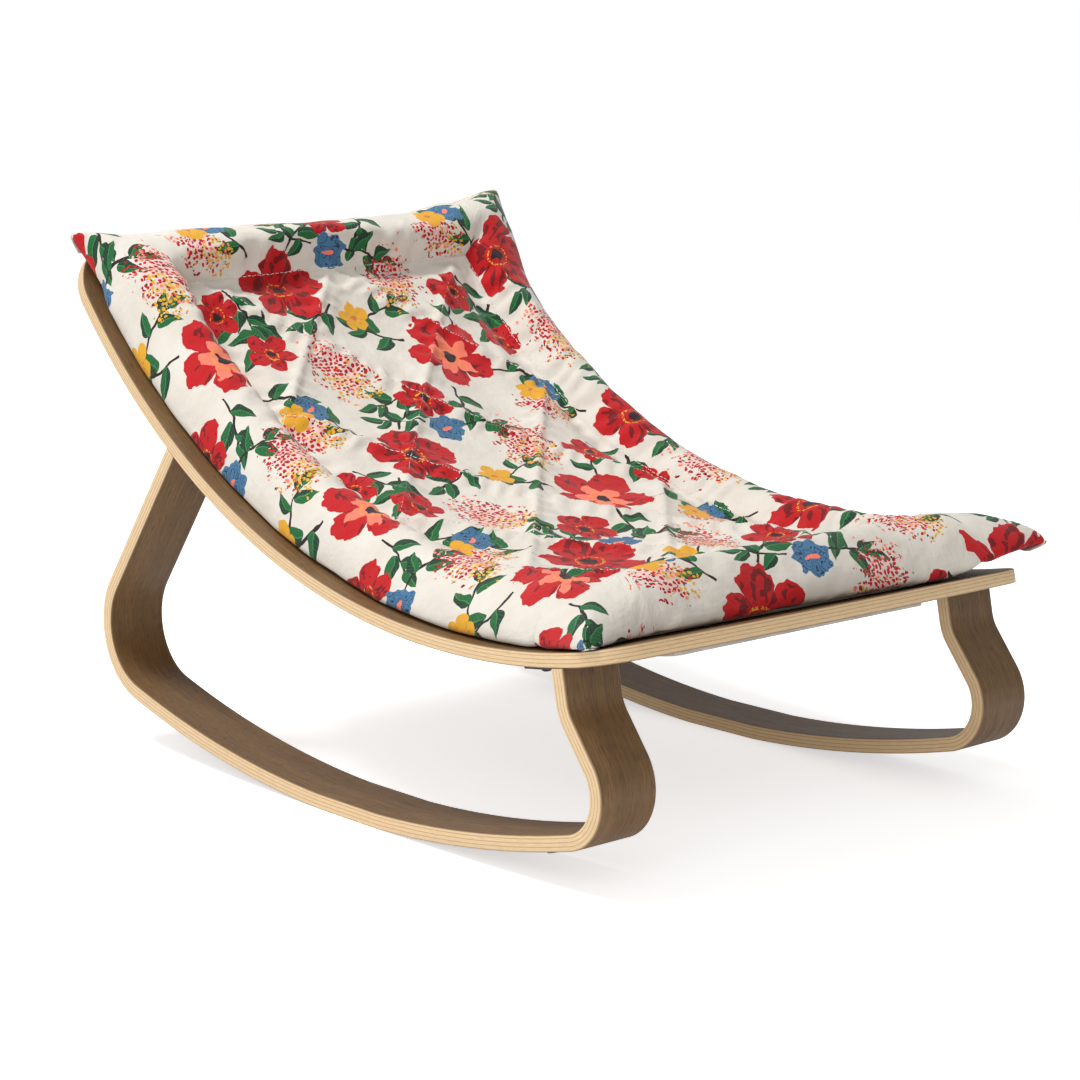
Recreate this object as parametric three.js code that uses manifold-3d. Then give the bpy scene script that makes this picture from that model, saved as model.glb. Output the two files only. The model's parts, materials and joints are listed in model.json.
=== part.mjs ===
// Baby rocker: a moulded-plywood seat shell carried by two bent-plywood rockers, with a loose quilted
// cushion held on the shell by hook-and-loop strips.
//
// Millimetres. +Z is up, +Y points to the head end, +X to the right of somebody who looks at the foot end.
// Side profiles are drawn in the Y-Z plane with y = 0 at the middle of the runners' land, and the finished
// object is then moved along Y, so that its origin is on the floor at the centre of its own bounding box.
// The names "left" and "right" mean -X and +X.

import * as THREE from 'three';
import { mergeVertices } from 'three/addons/utils/BufferGeometryUtils.js';
import Module from 'manifold-3d';

const wasm = await Module();
wasm.setup();

// ---------------------------------------------------------------- driving dimensions

const WIDTH = 420;          // overall width, shared by the shell and the rockers
const GAP = 0.3;            // clearance between pieces that touch
const ARC_STEP = 0.16;      // largest turn of one facet on a tight bend, radians
const LONG_STEP = 16;       // longest facet on a gentle curve
const BISECTIONS = 50;      // halvings when a station or a meeting point is searched for

const SHELL = {
  thickness: 10,
  lowY: -118,               // where the underside is lowest
  lowZ: 138,                // height of the underside there
  footRadius: 636,          // underside radius towards the foot end
  seatRadius: 760,          // underside radius of the short, flatter seat
  backRadius: 576,          // underside radius of the backrest
  seatLength: 32,           // arc length from the lowest point to the start of the backrest
  footReach: 164,           // arc length from the lowest point to the tip of the foot edge
  headReach: 559,           // arc length from the lowest point to the tip of the head edge
  footCorner: 36,
  footCrown: 1400,          // radius of the bowed foot edge
  headCorner: 52,
  headCrown: 2600,          // radius of the bowed head edge
};

const ROCKER = {
  width: 48,
  thickness: 11,
  land: 34,                 // half length of the flat the object stands on
  backRadius: 969,
  backTurn: 0.281,          // radians, as every turn below
  backBendRadius: 57,
  backBendTurn: 1.93,
  frontRadius: 926,
  frontTurn: 0.2457,
  toeLength: 9,             // straight end of the runner before the front bend
  frontBendRadius: 38.3,
  frontBendTurn: 1.982,
  shinLength: 31,
  kneeRadius: 27,
  kneeTurn: 0.457,
};

const BRACKET = {
  width: 30,
  shellFlange: 36,
  legFlange: 32,
  thickness: 2.5,
  screwSpacing: 16,
  screwSetback: 22,         // from the corner to the screw line, on both flanges
};

const SCREW = {
  headRadius: 3.6,
  headHeight: 1.8,
  headCrownRadius: 2.2,
  shankRadius: 1.8,
  tipRadius: 0.7,
  tipLength: 2,
  bracketReach: 7,          // shank length under the head
  plateReach: 12,
  clearance: 0.3,           // of the hole, around and below the shank
  sides: 12,
};

// Steel plate under the foot end. It brings the centre of mass of the empty seat over the runners' land.
const COUNTERWEIGHT = {
  length: 245,
  thickness: 5,
  cornerRadius: 6,
  footY: -240,
  depth: 92,
  screwX: [-100, -40, 40, 100],
  facets: 8,
};

const STOP_PAD = { radius: 5, thickness: 2, inset: 14, frontY: -194, backY: 226, sides: 16 };

const STRIP = { length: 220, width: 25, thickness: 1.2, stations: [-95, 185, 410] };

const CUSHION = {
  halfWidth: 207,
  sidePull: 12,             // how far each side pulls in between its corners
  footStation: -156,        // arc-length stations of the cushion's two ends
  headStation: 556,
  endPull: 4,
  clearance: 3.6,           // above the shell, room for the hook-and-loop strips
  seamHeight: 10,
  tuckWidth: 21,            // how far in from its seam the underside first touches the shell
  rollHeight: 48,           // crown of the stuffed border roll
  rollHalfWidth: 30,
  stitchHeight: 24,         // at the stitched line that divides roll and panel
  panelHeight: 36,
  panelRise: 34,            // distance over which the panel fills out
  cellsAcross: 22,
  cellsAlong: 34,
  cellCrowding: 1.35,       // above 1, cells crowd towards the seam
};

const FINISH = {
  walnut: { color: 0x6b4c35, roughness: 0.5, metalness: 0 },
  cotton: { color: 0xe9e4da, roughness: 0.9, metalness: 0 },
  darkSteel: { color: 0x3b3a38, roughness: 0.45, metalness: 0.6 },
  greySteel: { color: 0xb8b2a8, roughness: 0.5, metalness: 0.6 },
  rubber: { color: 0x2a2624, roughness: 0.8, metalness: 0 },
  tape: { color: 0x4a3c31, roughness: 0.95, metalness: 0 },
};

// ---------------------------------------------------------------- solids and booleans

function toManifold(geometry) {
  const bare = geometry.clone();
  bare.deleteAttribute('normal');
  bare.deleteAttribute('uv');
  const merged = mergeVertices(bare, 1e-4);
  return new wasm.Manifold(new wasm.Mesh({
    numProp: 3,
    vertProperties: new Float32Array(merged.attributes.position.array),
    triVerts: new Uint32Array(merged.index.array),
  }));
}

function fromManifold(solid) {
  const mesh = solid.getMesh();
  const geometry = new THREE.BufferGeometry();
  geometry.setAttribute('position', new THREE.BufferAttribute(mesh.vertProperties, 3));
  geometry.setIndex(new THREE.BufferAttribute(mesh.triVerts, 1));
  geometry.computeVertexNormals();
  return geometry;
}

function cutHoles(geometry, holes) {
  let solid = toManifold(geometry);
  for (const hole of holes) solid = solid.subtract(toManifold(hole));
  return fromManifold(solid);
}

// Closed loops with the same number of points, joined into one skin and capped with a fan at both ends.
// Loops that collapse to a line close the skin by themselves, so their empty triangles are dropped.
function loftLoops(loops) {
  const count = loops[0].length;
  const triangles = [];
  const addTriangle = (a, b, c) => {
    const area = new THREE.Triangle(a, b, c).getArea();
    if (area > 1e-6) triangles.push(a, b, c);
  };
  for (let i = 0; i + 1 < loops.length; i += 1) {
    for (let k = 0; k < count; k += 1) {
      const next = (k + 1) % count;
      addTriangle(loops[i][k], loops[i][next], loops[i + 1][next]);
      addTriangle(loops[i][k], loops[i + 1][next], loops[i + 1][k]);
    }
  }
  const first = loops[0];
  const last = loops[loops.length - 1];
  for (let k = 1; k + 1 < count; k += 1) {
    addTriangle(first[0], first[k + 1], first[k]);
    addTriangle(last[0], last[k], last[k + 1]);
  }
  const geometry = new THREE.BufferGeometry().setFromPoints(triangles);
  const merged = mergeVertices(geometry, 1e-4);
  merged.computeVertexNormals();
  return merged;
}

// A polygon in the Y-Z plane, given as { y, z } points, extruded along X between two planes.
function extrudeAcross(outline, lowX, highX) {
  const shape = new THREE.Shape(outline.map((p) => new THREE.Vector2(p.y, p.z)));
  const geometry = new THREE.ExtrudeGeometry(shape, { depth: highX - lowX, bevelEnabled: false });
  // local x, y, z become Y, Z, X
  const turn = new THREE.Matrix4().set(0, 0, 1, lowX, 1, 0, 0, 0, 0, 1, 0, 0, 0, 0, 0, 1);
  return geometry.applyMatrix4(turn);
}

// Moves a geometry whose own +Z is its axis to a point of the Y-Z profile at height x, axis along direction.
function placeOnAxis(geometry, x, point, direction) {
  const axis = new THREE.Vector3(0, direction.y, direction.z).normalize();
  const across = new THREE.Vector3(1, 0, 0);
  const third = new THREE.Vector3().crossVectors(axis, across);
  const matrix = new THREE.Matrix4().makeBasis(across, third, axis);
  matrix.setPosition(x, point.y, point.z);
  return geometry.applyMatrix4(matrix);
}

// ---------------------------------------------------------------- vectors of the Y-Z profile plane

const along = (p, direction, distance) => ({
  y: p.y + direction.y * distance,
  z: p.z + direction.z * distance,
});
const reverse = (d) => ({ y: -d.y, z: -d.z });
const headingVector = (angle) => ({ y: Math.cos(angle), z: Math.sin(angle) });

function crossingOf(p, d, q, e) {
  const determinant = d.y * e.z - d.z * e.y;
  const distance = ((q.y - p.y) * e.z - (q.z - p.z) * e.y) / determinant;
  return along(p, d, distance);
}

// ---------------------------------------------------------------- the shell's curved surface

// The underside at an arc-length station: three tangent arcs, lowest at station 0.
function shellFrame(station) {
  const { lowY, lowZ, footRadius, seatRadius, backRadius, seatLength } = SHELL;
  const arcPoint = (centre, radius, angle) => ({
    y: centre.y + radius * Math.sin(angle),
    z: centre.z - radius * Math.cos(angle),
  });
  const footCentre = { y: lowY, z: lowZ + footRadius };
  const seatCentre = { y: lowY, z: lowZ + seatRadius };
  const seatAngle = seatLength / seatRadius;
  const backCentre = arcPoint(seatCentre, seatRadius - backRadius, seatAngle);
  let angle;
  let point;
  if (station < 0) {
    angle = station / footRadius;
    point = arcPoint(footCentre, footRadius, angle);
  } else if (station < seatLength) {
    angle = station / seatRadius;
    point = arcPoint(seatCentre, seatRadius, angle);
  } else {
    angle = seatAngle + (station - seatLength) / backRadius;
    point = arcPoint(backCentre, backRadius, angle);
  }
  const tangent = headingVector(angle);
  const normal = { y: -tangent.z, z: tangent.y };
  return { point, tangent, normal };
}

// A point at a station, a side position x and a height above the underside.
function shellPoint(x, station, height) {
  const frame = shellFrame(station);
  const p = along(frame.point, frame.normal, height);
  return new THREE.Vector3(x, p.y, p.z);
}

// The station of the underside straight above a place on the Y axis.
function stationAbove(y) {
  let low = -SHELL.footReach;
  let high = SHELL.headReach;
  for (let i = 0; i < BISECTIONS; i += 1) {
    const middle = (low + high) / 2;
    if (shellFrame(middle).point.y < y) low = middle;
    else high = middle;
  }
  return (low + high) / 2;
}

// The point where a line from below comes within a small gap of the underside.
function meetUnderside(start, direction) {
  let near = 0;
  let far = SHELL.headReach;
  for (let i = 0; i < BISECTIONS; i += 1) {
    const middle = (near + far) / 2;
    const p = along(start, direction, middle);
    const frame = shellFrame(stationAbove(p.y));
    const height = (p.y - frame.point.y) * frame.normal.y + (p.z - frame.point.z) * frame.normal.z;
    if (height < -GAP) near = middle;
    else far = middle;
  }
  return along(start, direction, near);
}

// Half of the shell's developed outline from the tip of one end to the full width:
// a bowed end edge, a corner arc tangent to it and to the straight side.
function endOutline(crownRadius, cornerRadius) {
  const half = WIDTH / 2;
  const cornerX = half - cornerRadius;
  const reach = Math.sqrt((crownRadius - cornerRadius) ** 2 - cornerX ** 2);
  const cornerStation = crownRadius - reach;
  const joinAngle = Math.asin(cornerX / (crownRadius - cornerRadius));
  const points = [];
  const crownSteps = 6;
  for (let i = 0; i < crownSteps; i += 1) {
    const angle = (joinAngle * i) / crownSteps;
    points.push({ x: crownRadius * Math.sin(angle), depth: crownRadius * (1 - Math.cos(angle)) });
  }
  const cornerSteps = 9;
  for (let i = 0; i <= cornerSteps; i += 1) {
    const angle = joinAngle + ((Math.PI / 2 - joinAngle) * i) / cornerSteps;
    points.push({
      x: cornerX + cornerRadius * Math.sin(angle),
      depth: cornerStation - cornerRadius * Math.cos(angle),
    });
  }
  return points;
}

function shellGeometry() {
  const foot = endOutline(SHELL.footCrown, SHELL.footCorner)
    .map((p) => ({ x: p.x, station: p.depth - SHELL.footReach }));
  const head = endOutline(SHELL.headCrown, SHELL.headCorner)
    .map((p) => ({ x: p.x, station: SHELL.headReach - p.depth })).reverse();
  const from = foot[foot.length - 1].station;
  const to = head[0].station;
  const steps = Math.ceil((to - from) / LONG_STEP);
  const sides = [];
  for (let i = 1; i < steps; i += 1) sides.push({ x: WIDTH / 2, station: from + ((to - from) * i) / steps });
  const loops = [...foot, ...sides, ...head].map(({ x, station }) => [
    shellPoint(-x, station, 0),
    shellPoint(-x, station, SHELL.thickness),
    shellPoint(x, station, SHELL.thickness),
    shellPoint(x, station, 0),
  ]);
  return loftLoops(loops);
}

// ---------------------------------------------------------------- the rocker's bent strip

// Walks an outline from a start point and heading. Each step is a straight length, or an arc given by its
// radius and its turn (positive turns left). Every stop carries the left-hand normal.
function walk(start, heading, steps) {
  const stops = [];
  let point = start;
  let angle = heading;
  const addStop = () => stops.push({ point, normal: headingVector(angle + Math.PI / 2), heading: angle });
  addStop();
  for (const step of steps) {
    if (step.length !== undefined) {
      point = along(point, headingVector(angle), step.length);
      addStop();
    } else {
      const side = Math.sign(step.turn);
      const facet = Math.max(Math.min(ARC_STEP, LONG_STEP / step.radius), 0.01);
      const count = Math.ceil(Math.abs(step.turn) / facet);
      const centre = along(point, headingVector(angle + (side * Math.PI) / 2), step.radius);
      for (let i = 0; i < count; i += 1) {
        angle += step.turn / count;
        point = along(centre, headingVector(angle - (side * Math.PI) / 2), step.radius);
        addStop();
      }
    }
  }
  return stops;
}

// The outer line from the land to both leg tops. The land is a chord of the runner's curve, so the
// whole curve drops by the chord's small rise. The front half is walked as its own mirror image.
function rockerProfile() {
  const backLand = Math.asin(ROCKER.land / ROCKER.backRadius);
  const frontLand = Math.asin(ROCKER.land / ROCKER.frontRadius);
  const back = walk({ y: ROCKER.land, z: 0 }, backLand, [
    { radius: ROCKER.backRadius, turn: ROCKER.backTurn - backLand },
    { radius: ROCKER.backBendRadius, turn: ROCKER.backBendTurn },
  ]);
  const mirroredFront = walk({ y: ROCKER.land, z: 0 }, frontLand, [
    { radius: ROCKER.frontRadius, turn: ROCKER.frontTurn - frontLand },
    { length: ROCKER.toeLength },
    { radius: ROCKER.frontBendRadius, turn: ROCKER.frontBendTurn },
    { length: ROCKER.shinLength },
    { radius: ROCKER.kneeRadius, turn: -ROCKER.kneeTurn },
  ]);
  const front = mirroredFront.map((stop) => ({
    point: { y: -stop.point.y, z: stop.point.z },
    normal: { y: -stop.normal.y, z: stop.normal.z },
    heading: Math.PI - stop.heading,
  }));
  return { back: withLeg(back), front: withLeg(front) };
}

// Adds the straight leg: outer and inner line each run on until they meet the shell's underside.
function withLeg(stops) {
  const outer = stops.map((stop) => stop.point);
  const inner = stops.map((stop) => along(stop.point, stop.normal, ROCKER.thickness));
  const direction = headingVector(stops[stops.length - 1].heading);
  outer.push(meetUnderside(outer[outer.length - 1], direction));
  inner.push(meetUnderside(inner[inner.length - 1], direction));
  return { outer, inner, direction };
}

const profile = rockerProfile();

function rockerOutline() {
  const { front, back } = profile;
  return [
    ...front.outer.slice().reverse(), ...back.outer,
    ...back.inner.slice().reverse(), ...front.inner,
  ];
}

// ---------------------------------------------------------------- leg brackets and their screws

// One bent steel angle per leg, on the face of the leg that is hidden from the foot end.
// side is +1 when that face looks to the head end.
function legBracket(leg, face) {
  const legFace = face[face.length - 1];
  const shellStation = stationAbove(legFace.y) + BRACKET.shellFlange / 2;
  const shell = shellFrame(shellStation);
  const down = reverse(shell.normal);
  const legNormal = { y: leg.direction.z, z: -leg.direction.y };
  const away = legNormal.y > 0 ? legNormal : reverse(legNormal);
  const underside = along(shell.point, down, GAP);
  const legLine = along(legFace, away, GAP);
  const legDown = reverse(leg.direction);
  const outerCorner = crossingOf(underside, shell.tangent, legLine, leg.direction);
  const innerCorner = crossingOf(
    along(underside, down, BRACKET.thickness), shell.tangent,
    along(legLine, away, BRACKET.thickness), leg.direction,
  );
  const shellTip = along(outerCorner, shell.tangent, BRACKET.shellFlange);
  const legTip = along(outerCorner, legDown, BRACKET.legFlange);
  const outline = [
    outerCorner, legTip, along(legTip, away, BRACKET.thickness),
    innerCorner, along(shellTip, down, BRACKET.thickness), shellTip,
  ];
  const screwSeat = (flangeDirection, axis) => {
    const point = along(along(outerCorner, flangeDirection, BRACKET.screwSetback), axis, BRACKET.thickness);
    return { point, axis };
  };
  return { outline, shellScrew: screwSeat(shell.tangent, down), legScrew: screwSeat(legDown, away) };
}

// Pan-head screw standing on its own +Z axis: the head's seat is at the origin, the shank below it.
function screwGeometry(reach) {
  const { headRadius, headHeight, headCrownRadius, shankRadius, tipRadius, tipLength, sides } = SCREW;
  const outline = [
    [0, -reach], [tipRadius, -reach], [shankRadius, -reach + tipLength],
    [shankRadius, GAP], [headRadius, GAP], [headRadius, GAP + headHeight / 2],
    [headCrownRadius, GAP + headHeight], [0, GAP + headHeight],
  ].map(([radius, height]) => new THREE.Vector2(radius, height));
  // a lathe turns about Y, so it is tipped to stand on Z
  return new THREE.LatheGeometry(outline, sides).rotateX(Math.PI / 2);
}

// The hole for that screw, open above its seat.
function screwHole(reach) {
  const radius = SCREW.shankRadius + SCREW.clearance;
  const depth = reach + 2 * SCREW.clearance;
  const above = SCREW.headHeight;
  const hole = new THREE.CylinderGeometry(radius, radius, depth + above, SCREW.sides);
  return hole.rotateX(Math.PI / 2).translate(0, 0, (above - depth) / 2);
}

// ---------------------------------------------------------------- counterweight, pads and strips

// A plate bent to the shell's underside: a band of the profile, trimmed to rounded corners seen from below.
function counterweightGeometry() {
  const { length, depth, thickness, cornerRadius: r, footY, facets } = COUNTERWEIGHT;
  const band = [];
  const margin = 1;
  const from = stationAbove(footY - margin);
  const to = stationAbove(footY + depth + margin);
  for (const [height, forward] of [[-GAP, true], [-GAP - thickness, false]]) {
    for (let i = 0; i <= facets; i += 1) {
      const share = (forward ? i : facets - i) / facets;
      const frame = shellFrame(from + (to - from) * share);
      band.push(along(frame.point, frame.normal, height));
    }
  }
  const halfLength = length / 2;
  const headY = footY + depth;
  const shape = new THREE.Shape();
  shape.moveTo(-halfLength + r, footY);
  shape.lineTo(halfLength - r, footY);
  shape.absarc(halfLength - r, footY + r, r, -Math.PI / 2, 0, false);
  shape.absarc(halfLength - r, headY - r, r, 0, Math.PI / 2, false);
  shape.absarc(-halfLength + r, headY - r, r, Math.PI / 2, Math.PI, false);
  shape.absarc(-halfLength + r, footY + r, r, Math.PI, Math.PI * 1.5, false);
  const prism = new THREE.ExtrudeGeometry(shape, {
    depth: SHELL.lowZ * 2,
    bevelEnabled: false,
    curveSegments: 4,
  });
  const plate = toManifold(extrudeAcross(band, -length, length)).intersect(toManifold(prism));
  return fromManifold(plate);
}

// Matrix that lays a flat piece, drawn in its own X-Y plane, on the shell at a height over the underside.
function flatOnShell(frame, height) {
  const origin = along(frame.point, frame.normal, height);
  const across = new THREE.Vector3(1, 0, 0);
  const forward = new THREE.Vector3(0, frame.tangent.y, frame.tangent.z);
  const up = new THREE.Vector3(0, frame.normal.y, frame.normal.z);
  return new THREE.Matrix4().makeBasis(across, forward, up).setPosition(0, origin.y, origin.z);
}

// A round pad under the facet of the runner that starts nearest to a place on the Y axis.
function stopPad(x, stops, wantedY) {
  let nearest = 0;
  stops.forEach((p, i) => {
    if (Math.abs(p.y - wantedY) < Math.abs(stops[nearest].y - wantedY)) nearest = i;
  });
  const a = stops[nearest];
  const b = stops[nearest + 1];
  const middle = { y: (a.y + b.y) / 2, z: (a.z + b.z) / 2 };
  const facet = { y: b.y - a.y, z: b.z - a.z };
  const length = Math.hypot(facet.y, facet.z);
  const normal = { y: facet.z / length, z: -facet.y / length };
  const down = normal.z < 0 ? normal : reverse(normal);
  const { radius, thickness, sides } = STOP_PAD;
  const pad = new THREE.CylinderGeometry(radius, radius, thickness, sides).rotateX(Math.PI / 2);
  return placeOnAxis(pad, x, along(middle, down, GAP + thickness / 2), down);
}

function stripGeometry(station, height) {
  const frame = shellFrame(station);
  const strip = new THREE.BoxGeometry(STRIP.length, STRIP.width, STRIP.thickness);
  return strip.applyMatrix4(flatOnShell(frame, SHELL.thickness + height + STRIP.thickness / 2));
}

// ---------------------------------------------------------------- cushion

const smooth = (t) => {
  const c = THREE.MathUtils.clamp(t, 0, 1);
  return c * c * (3 - 2 * c);
};

// Height of the cushion's top at a distance in from its seam: a round roll, the stitched line, the panel.
function cushionTop(inset) {
  const { seamHeight, rollHeight, rollHalfWidth, stitchHeight, panelHeight, panelRise } = CUSHION;
  const t = (inset - rollHalfWidth) / rollHalfWidth;
  if (t <= 0) return seamHeight + (rollHeight - seamHeight) * Math.sqrt(1 - t * t);
  if (t < 1) return stitchHeight + (rollHeight - stitchHeight) * Math.sqrt(1 - t * t);
  return stitchHeight + (panelHeight - stitchHeight) * smooth((inset - 2 * rollHalfWidth) / panelRise);
}

function cushionBottom(inset) {
  const { seamHeight, clearance, tuckWidth } = CUSHION;
  const t = 1 - Math.min(inset / tuckWidth, 1);
  return clearance + (seamHeight - clearance) * (1 - Math.sqrt(1 - t * t));
}

// Places a cell corner, u across and v along, both from -1 to 1.
function cushionPoint(u, v, surface) {
  const { halfWidth, sidePull, footStation, headStation, endPull } = CUSHION;
  const halfLength = (headStation - footStation) / 2;
  const x = u * (halfWidth - sidePull * (1 - v * v));
  const station = (footStation + headStation) / 2 + v * (halfLength - endPull * (1 - u * u));
  const inset = Math.min((1 - Math.abs(u)) * halfWidth, (1 - Math.abs(v)) * halfLength);
  return shellPoint(x, station, SHELL.thickness + surface(inset));
}

function cushionGeometry() {
  const { cellsAcross, cellsAlong, cellCrowding } = CUSHION;
  const spread = (i, count) => {
    const t = (2 * i) / count - 1;
    return Math.sign(t) * (1 - (1 - Math.abs(t)) ** cellCrowding);
  };
  const points = [];
  const cell = (a, b, c, d, flip, diagonal) => {
    const faces = diagonal ? [[a, b, c], [a, c, d]] : [[a, b, d], [b, c, d]];
    for (const [p, q, r] of faces) points.push(...(flip ? [p, r, q] : [p, q, r]));
  };
  for (const flip of [false, true]) {
    const surface = flip ? cushionBottom : cushionTop;
    for (let i = 0; i < cellsAcross; i += 1) {
      for (let j = 0; j < cellsAlong; j += 1) {
        const at = (di, dj) => cushionPoint(spread(i + di, cellsAcross), spread(j + dj, cellsAlong), surface);
        // the diagonal of a corner cell starts at the corner, so no facet lies flat between both skins
        const diagonal = (i < cellsAcross / 2) === (j < cellsAlong / 2);
        cell(at(0, 0), at(1, 0), at(1, 1), at(0, 1), flip, diagonal);
      }
    }
  }
  const geometry = mergeVertices(new THREE.BufferGeometry().setFromPoints(points), 1e-4);
  geometry.computeVertexNormals();
  return geometry;
}

// ---------------------------------------------------------------- assembly

const rocker = new THREE.Group();
const shellHoles = [];

function addPiece(name, geometry, finish) {
  const mesh = new THREE.Mesh(geometry, new THREE.MeshStandardMaterial(finish));
  mesh.name = name;
  rocker.add(mesh);
}

for (const side of [-1, 1]) {
  const name = side < 0 ? 'left' : 'right';
  const lowX = side < 0 ? -WIDTH / 2 : WIDTH / 2 - ROCKER.width;
  const centreX = lowX + ROCKER.width / 2;
  const rockerHoles = [];

  const legs = {
    front: { leg: profile.front, face: profile.front.inner },
    back: { leg: profile.back, face: profile.back.outer },
  };
  for (const [end, { leg, face }] of Object.entries(legs)) {
    const bracket = legBracket(leg, face);
    const bracketHoles = [];
    for (const [place, screw] of [['shell', bracket.shellScrew], ['leg', bracket.legScrew]]) {
      [-1, 1].forEach((offset, index) => {
        const x = centreX + (offset * BRACKET.screwSpacing) / 2;
        const hole = placeOnAxis(screwHole(SCREW.bracketReach), x, screw.point, screw.axis);
        bracketHoles.push(hole);
        (place === 'shell' ? shellHoles : rockerHoles).push(hole);
        const geometry = placeOnAxis(screwGeometry(SCREW.bracketReach), x, screw.point, screw.axis);
        addPiece(`${name}_${end}_${place}_screw_${index + 1}`, geometry, FINISH.darkSteel);
      });
    }
    const angle = extrudeAcross(bracket.outline, centreX - BRACKET.width / 2, centreX + BRACKET.width / 2);
    addPiece(`${name}_${end}_bracket`, cutHoles(angle, bracketHoles), FINISH.darkSteel);
  }

  const strip = extrudeAcross(rockerOutline(), lowX, lowX + ROCKER.width);
  addPiece(`${name}_rocker`, cutHoles(strip, rockerHoles), FINISH.walnut);

  const padX = side * (WIDTH / 2 - STOP_PAD.inset);
  const frontPad = stopPad(padX, profile.front.outer, STOP_PAD.frontY);
  addPiece(`${name}_front_stop_pad`, frontPad, FINISH.rubber);
  const backPad = stopPad(padX, profile.back.outer, STOP_PAD.backY);
  addPiece(`${name}_back_stop_pad`, backPad, FINISH.rubber);
}

const plateFrame = shellFrame(stationAbove(COUNTERWEIGHT.footY + COUNTERWEIGHT.depth / 2));
const plateDown = reverse(plateFrame.normal);
const plateSeat = along(plateFrame.point, plateDown, GAP + COUNTERWEIGHT.thickness);
const plateHoles = COUNTERWEIGHT.screwX.map(
  (x) => placeOnAxis(screwHole(SCREW.plateReach), x, plateSeat, plateDown),
);
COUNTERWEIGHT.screwX.forEach((x, index) => {
  const geometry = placeOnAxis(screwGeometry(SCREW.plateReach), x, plateSeat, plateDown);
  addPiece(`counterweight_screw_${index + 1}`, geometry, FINISH.darkSteel);
});
addPiece('counterweight_plate', cutHoles(counterweightGeometry(), plateHoles), FINISH.greySteel);
addPiece('seat_shell', cutHoles(shellGeometry(), [...shellHoles, ...plateHoles]), FINISH.walnut);

['foot', 'middle', 'head'].forEach((place, index) => {
  const station = STRIP.stations[index];
  addPiece(`${place}_hook_strip`, stripGeometry(station, GAP), FINISH.tape);
  addPiece(`${place}_loop_strip`, stripGeometry(station, 2 * GAP + STRIP.thickness), FINISH.cotton);
});

addPiece('cushion', cushionGeometry(), FINISH.cotton);

const box = new THREE.Box3().setFromObject(rocker);
rocker.position.y = -(box.min.y + box.max.y) / 2;

export default rocker;
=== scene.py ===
"""Baby rocker: a bent-plywood seat shell on two bent-plywood rockers, under a quilted floral cushion.

Metres, in the CAD frame: +Z up, +Y towards the head end, +X to the right of somebody who looks at the
foot end. A station is an arc length along the shell's underside: zero at its lowest point, positive
towards the head. Heights are measured square to the underside.
"""

import json
import math

import bmesh
import bpy
import numpy as np
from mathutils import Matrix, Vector, kdtree, noise


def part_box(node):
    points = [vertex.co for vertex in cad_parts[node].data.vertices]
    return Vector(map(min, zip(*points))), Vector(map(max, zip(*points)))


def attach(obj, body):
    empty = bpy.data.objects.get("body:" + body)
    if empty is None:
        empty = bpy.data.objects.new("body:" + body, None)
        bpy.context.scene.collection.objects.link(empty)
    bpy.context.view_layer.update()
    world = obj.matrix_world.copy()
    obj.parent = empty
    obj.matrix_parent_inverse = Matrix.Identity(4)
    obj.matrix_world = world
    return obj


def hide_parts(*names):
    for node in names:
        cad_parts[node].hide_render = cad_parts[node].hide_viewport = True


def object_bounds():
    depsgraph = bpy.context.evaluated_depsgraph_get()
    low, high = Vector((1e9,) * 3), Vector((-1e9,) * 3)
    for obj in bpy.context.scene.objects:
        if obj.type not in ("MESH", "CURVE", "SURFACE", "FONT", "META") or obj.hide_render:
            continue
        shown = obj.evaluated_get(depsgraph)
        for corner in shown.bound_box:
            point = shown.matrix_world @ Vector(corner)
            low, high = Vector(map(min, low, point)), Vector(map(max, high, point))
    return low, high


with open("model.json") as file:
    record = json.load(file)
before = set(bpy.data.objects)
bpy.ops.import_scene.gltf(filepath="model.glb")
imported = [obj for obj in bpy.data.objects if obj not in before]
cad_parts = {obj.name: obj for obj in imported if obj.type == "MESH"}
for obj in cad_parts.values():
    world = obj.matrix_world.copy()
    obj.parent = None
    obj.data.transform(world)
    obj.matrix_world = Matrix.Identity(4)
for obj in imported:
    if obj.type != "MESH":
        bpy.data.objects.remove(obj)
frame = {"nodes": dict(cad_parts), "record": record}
cad_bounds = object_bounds()
scene = bpy.context.scene

# ---- driving dimensions

GAP = 0.0003  # clearance between plywood pieces that touch
EASE = 0.0009  # radius of the plywood's sanded edges
EASE_BAND = 0.003  # a row of points this far in keeps the faces beside it flat
BOW_POINTS, CORNER_POINTS, SIDE_POINTS, EASE_POINTS, FACE_COLUMNS = 40, 24, 110, 4, 25

SHELL_THICKNESS = 0.010
FOOT_RADIUS = 0.636  # the underside is three tangent arcs
SEAT_RADIUS = 0.760
BACK_RADIUS = 0.576
SEAT_LENGTH = 0.032
FOOT_REACH = 0.164  # arc lengths from the lowest point to the ends' tips
HEAD_REACH = 0.559
FOOT_CORNER = 0.036
HEAD_CORNER = 0.052
FOOT_CROWN = 1.400  # radii of the bowed end edges
HEAD_CROWN = 2.600

STRIP_THICKNESS = 0.011
STRIP_WIDTH = 0.048
LAND = 0.034  # half length of the flat under each runner
BACK_STEPS = ((0.969, 0.281), (0.057, 1.93))  # radius, turn
FRONT_STEPS = ((0.926, 0.2457), (0.0383, 1.982))
TOE_LENGTH = 0.009
SHIN_LENGTH = 0.031
KNEE = (0.027, -0.457)

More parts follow.
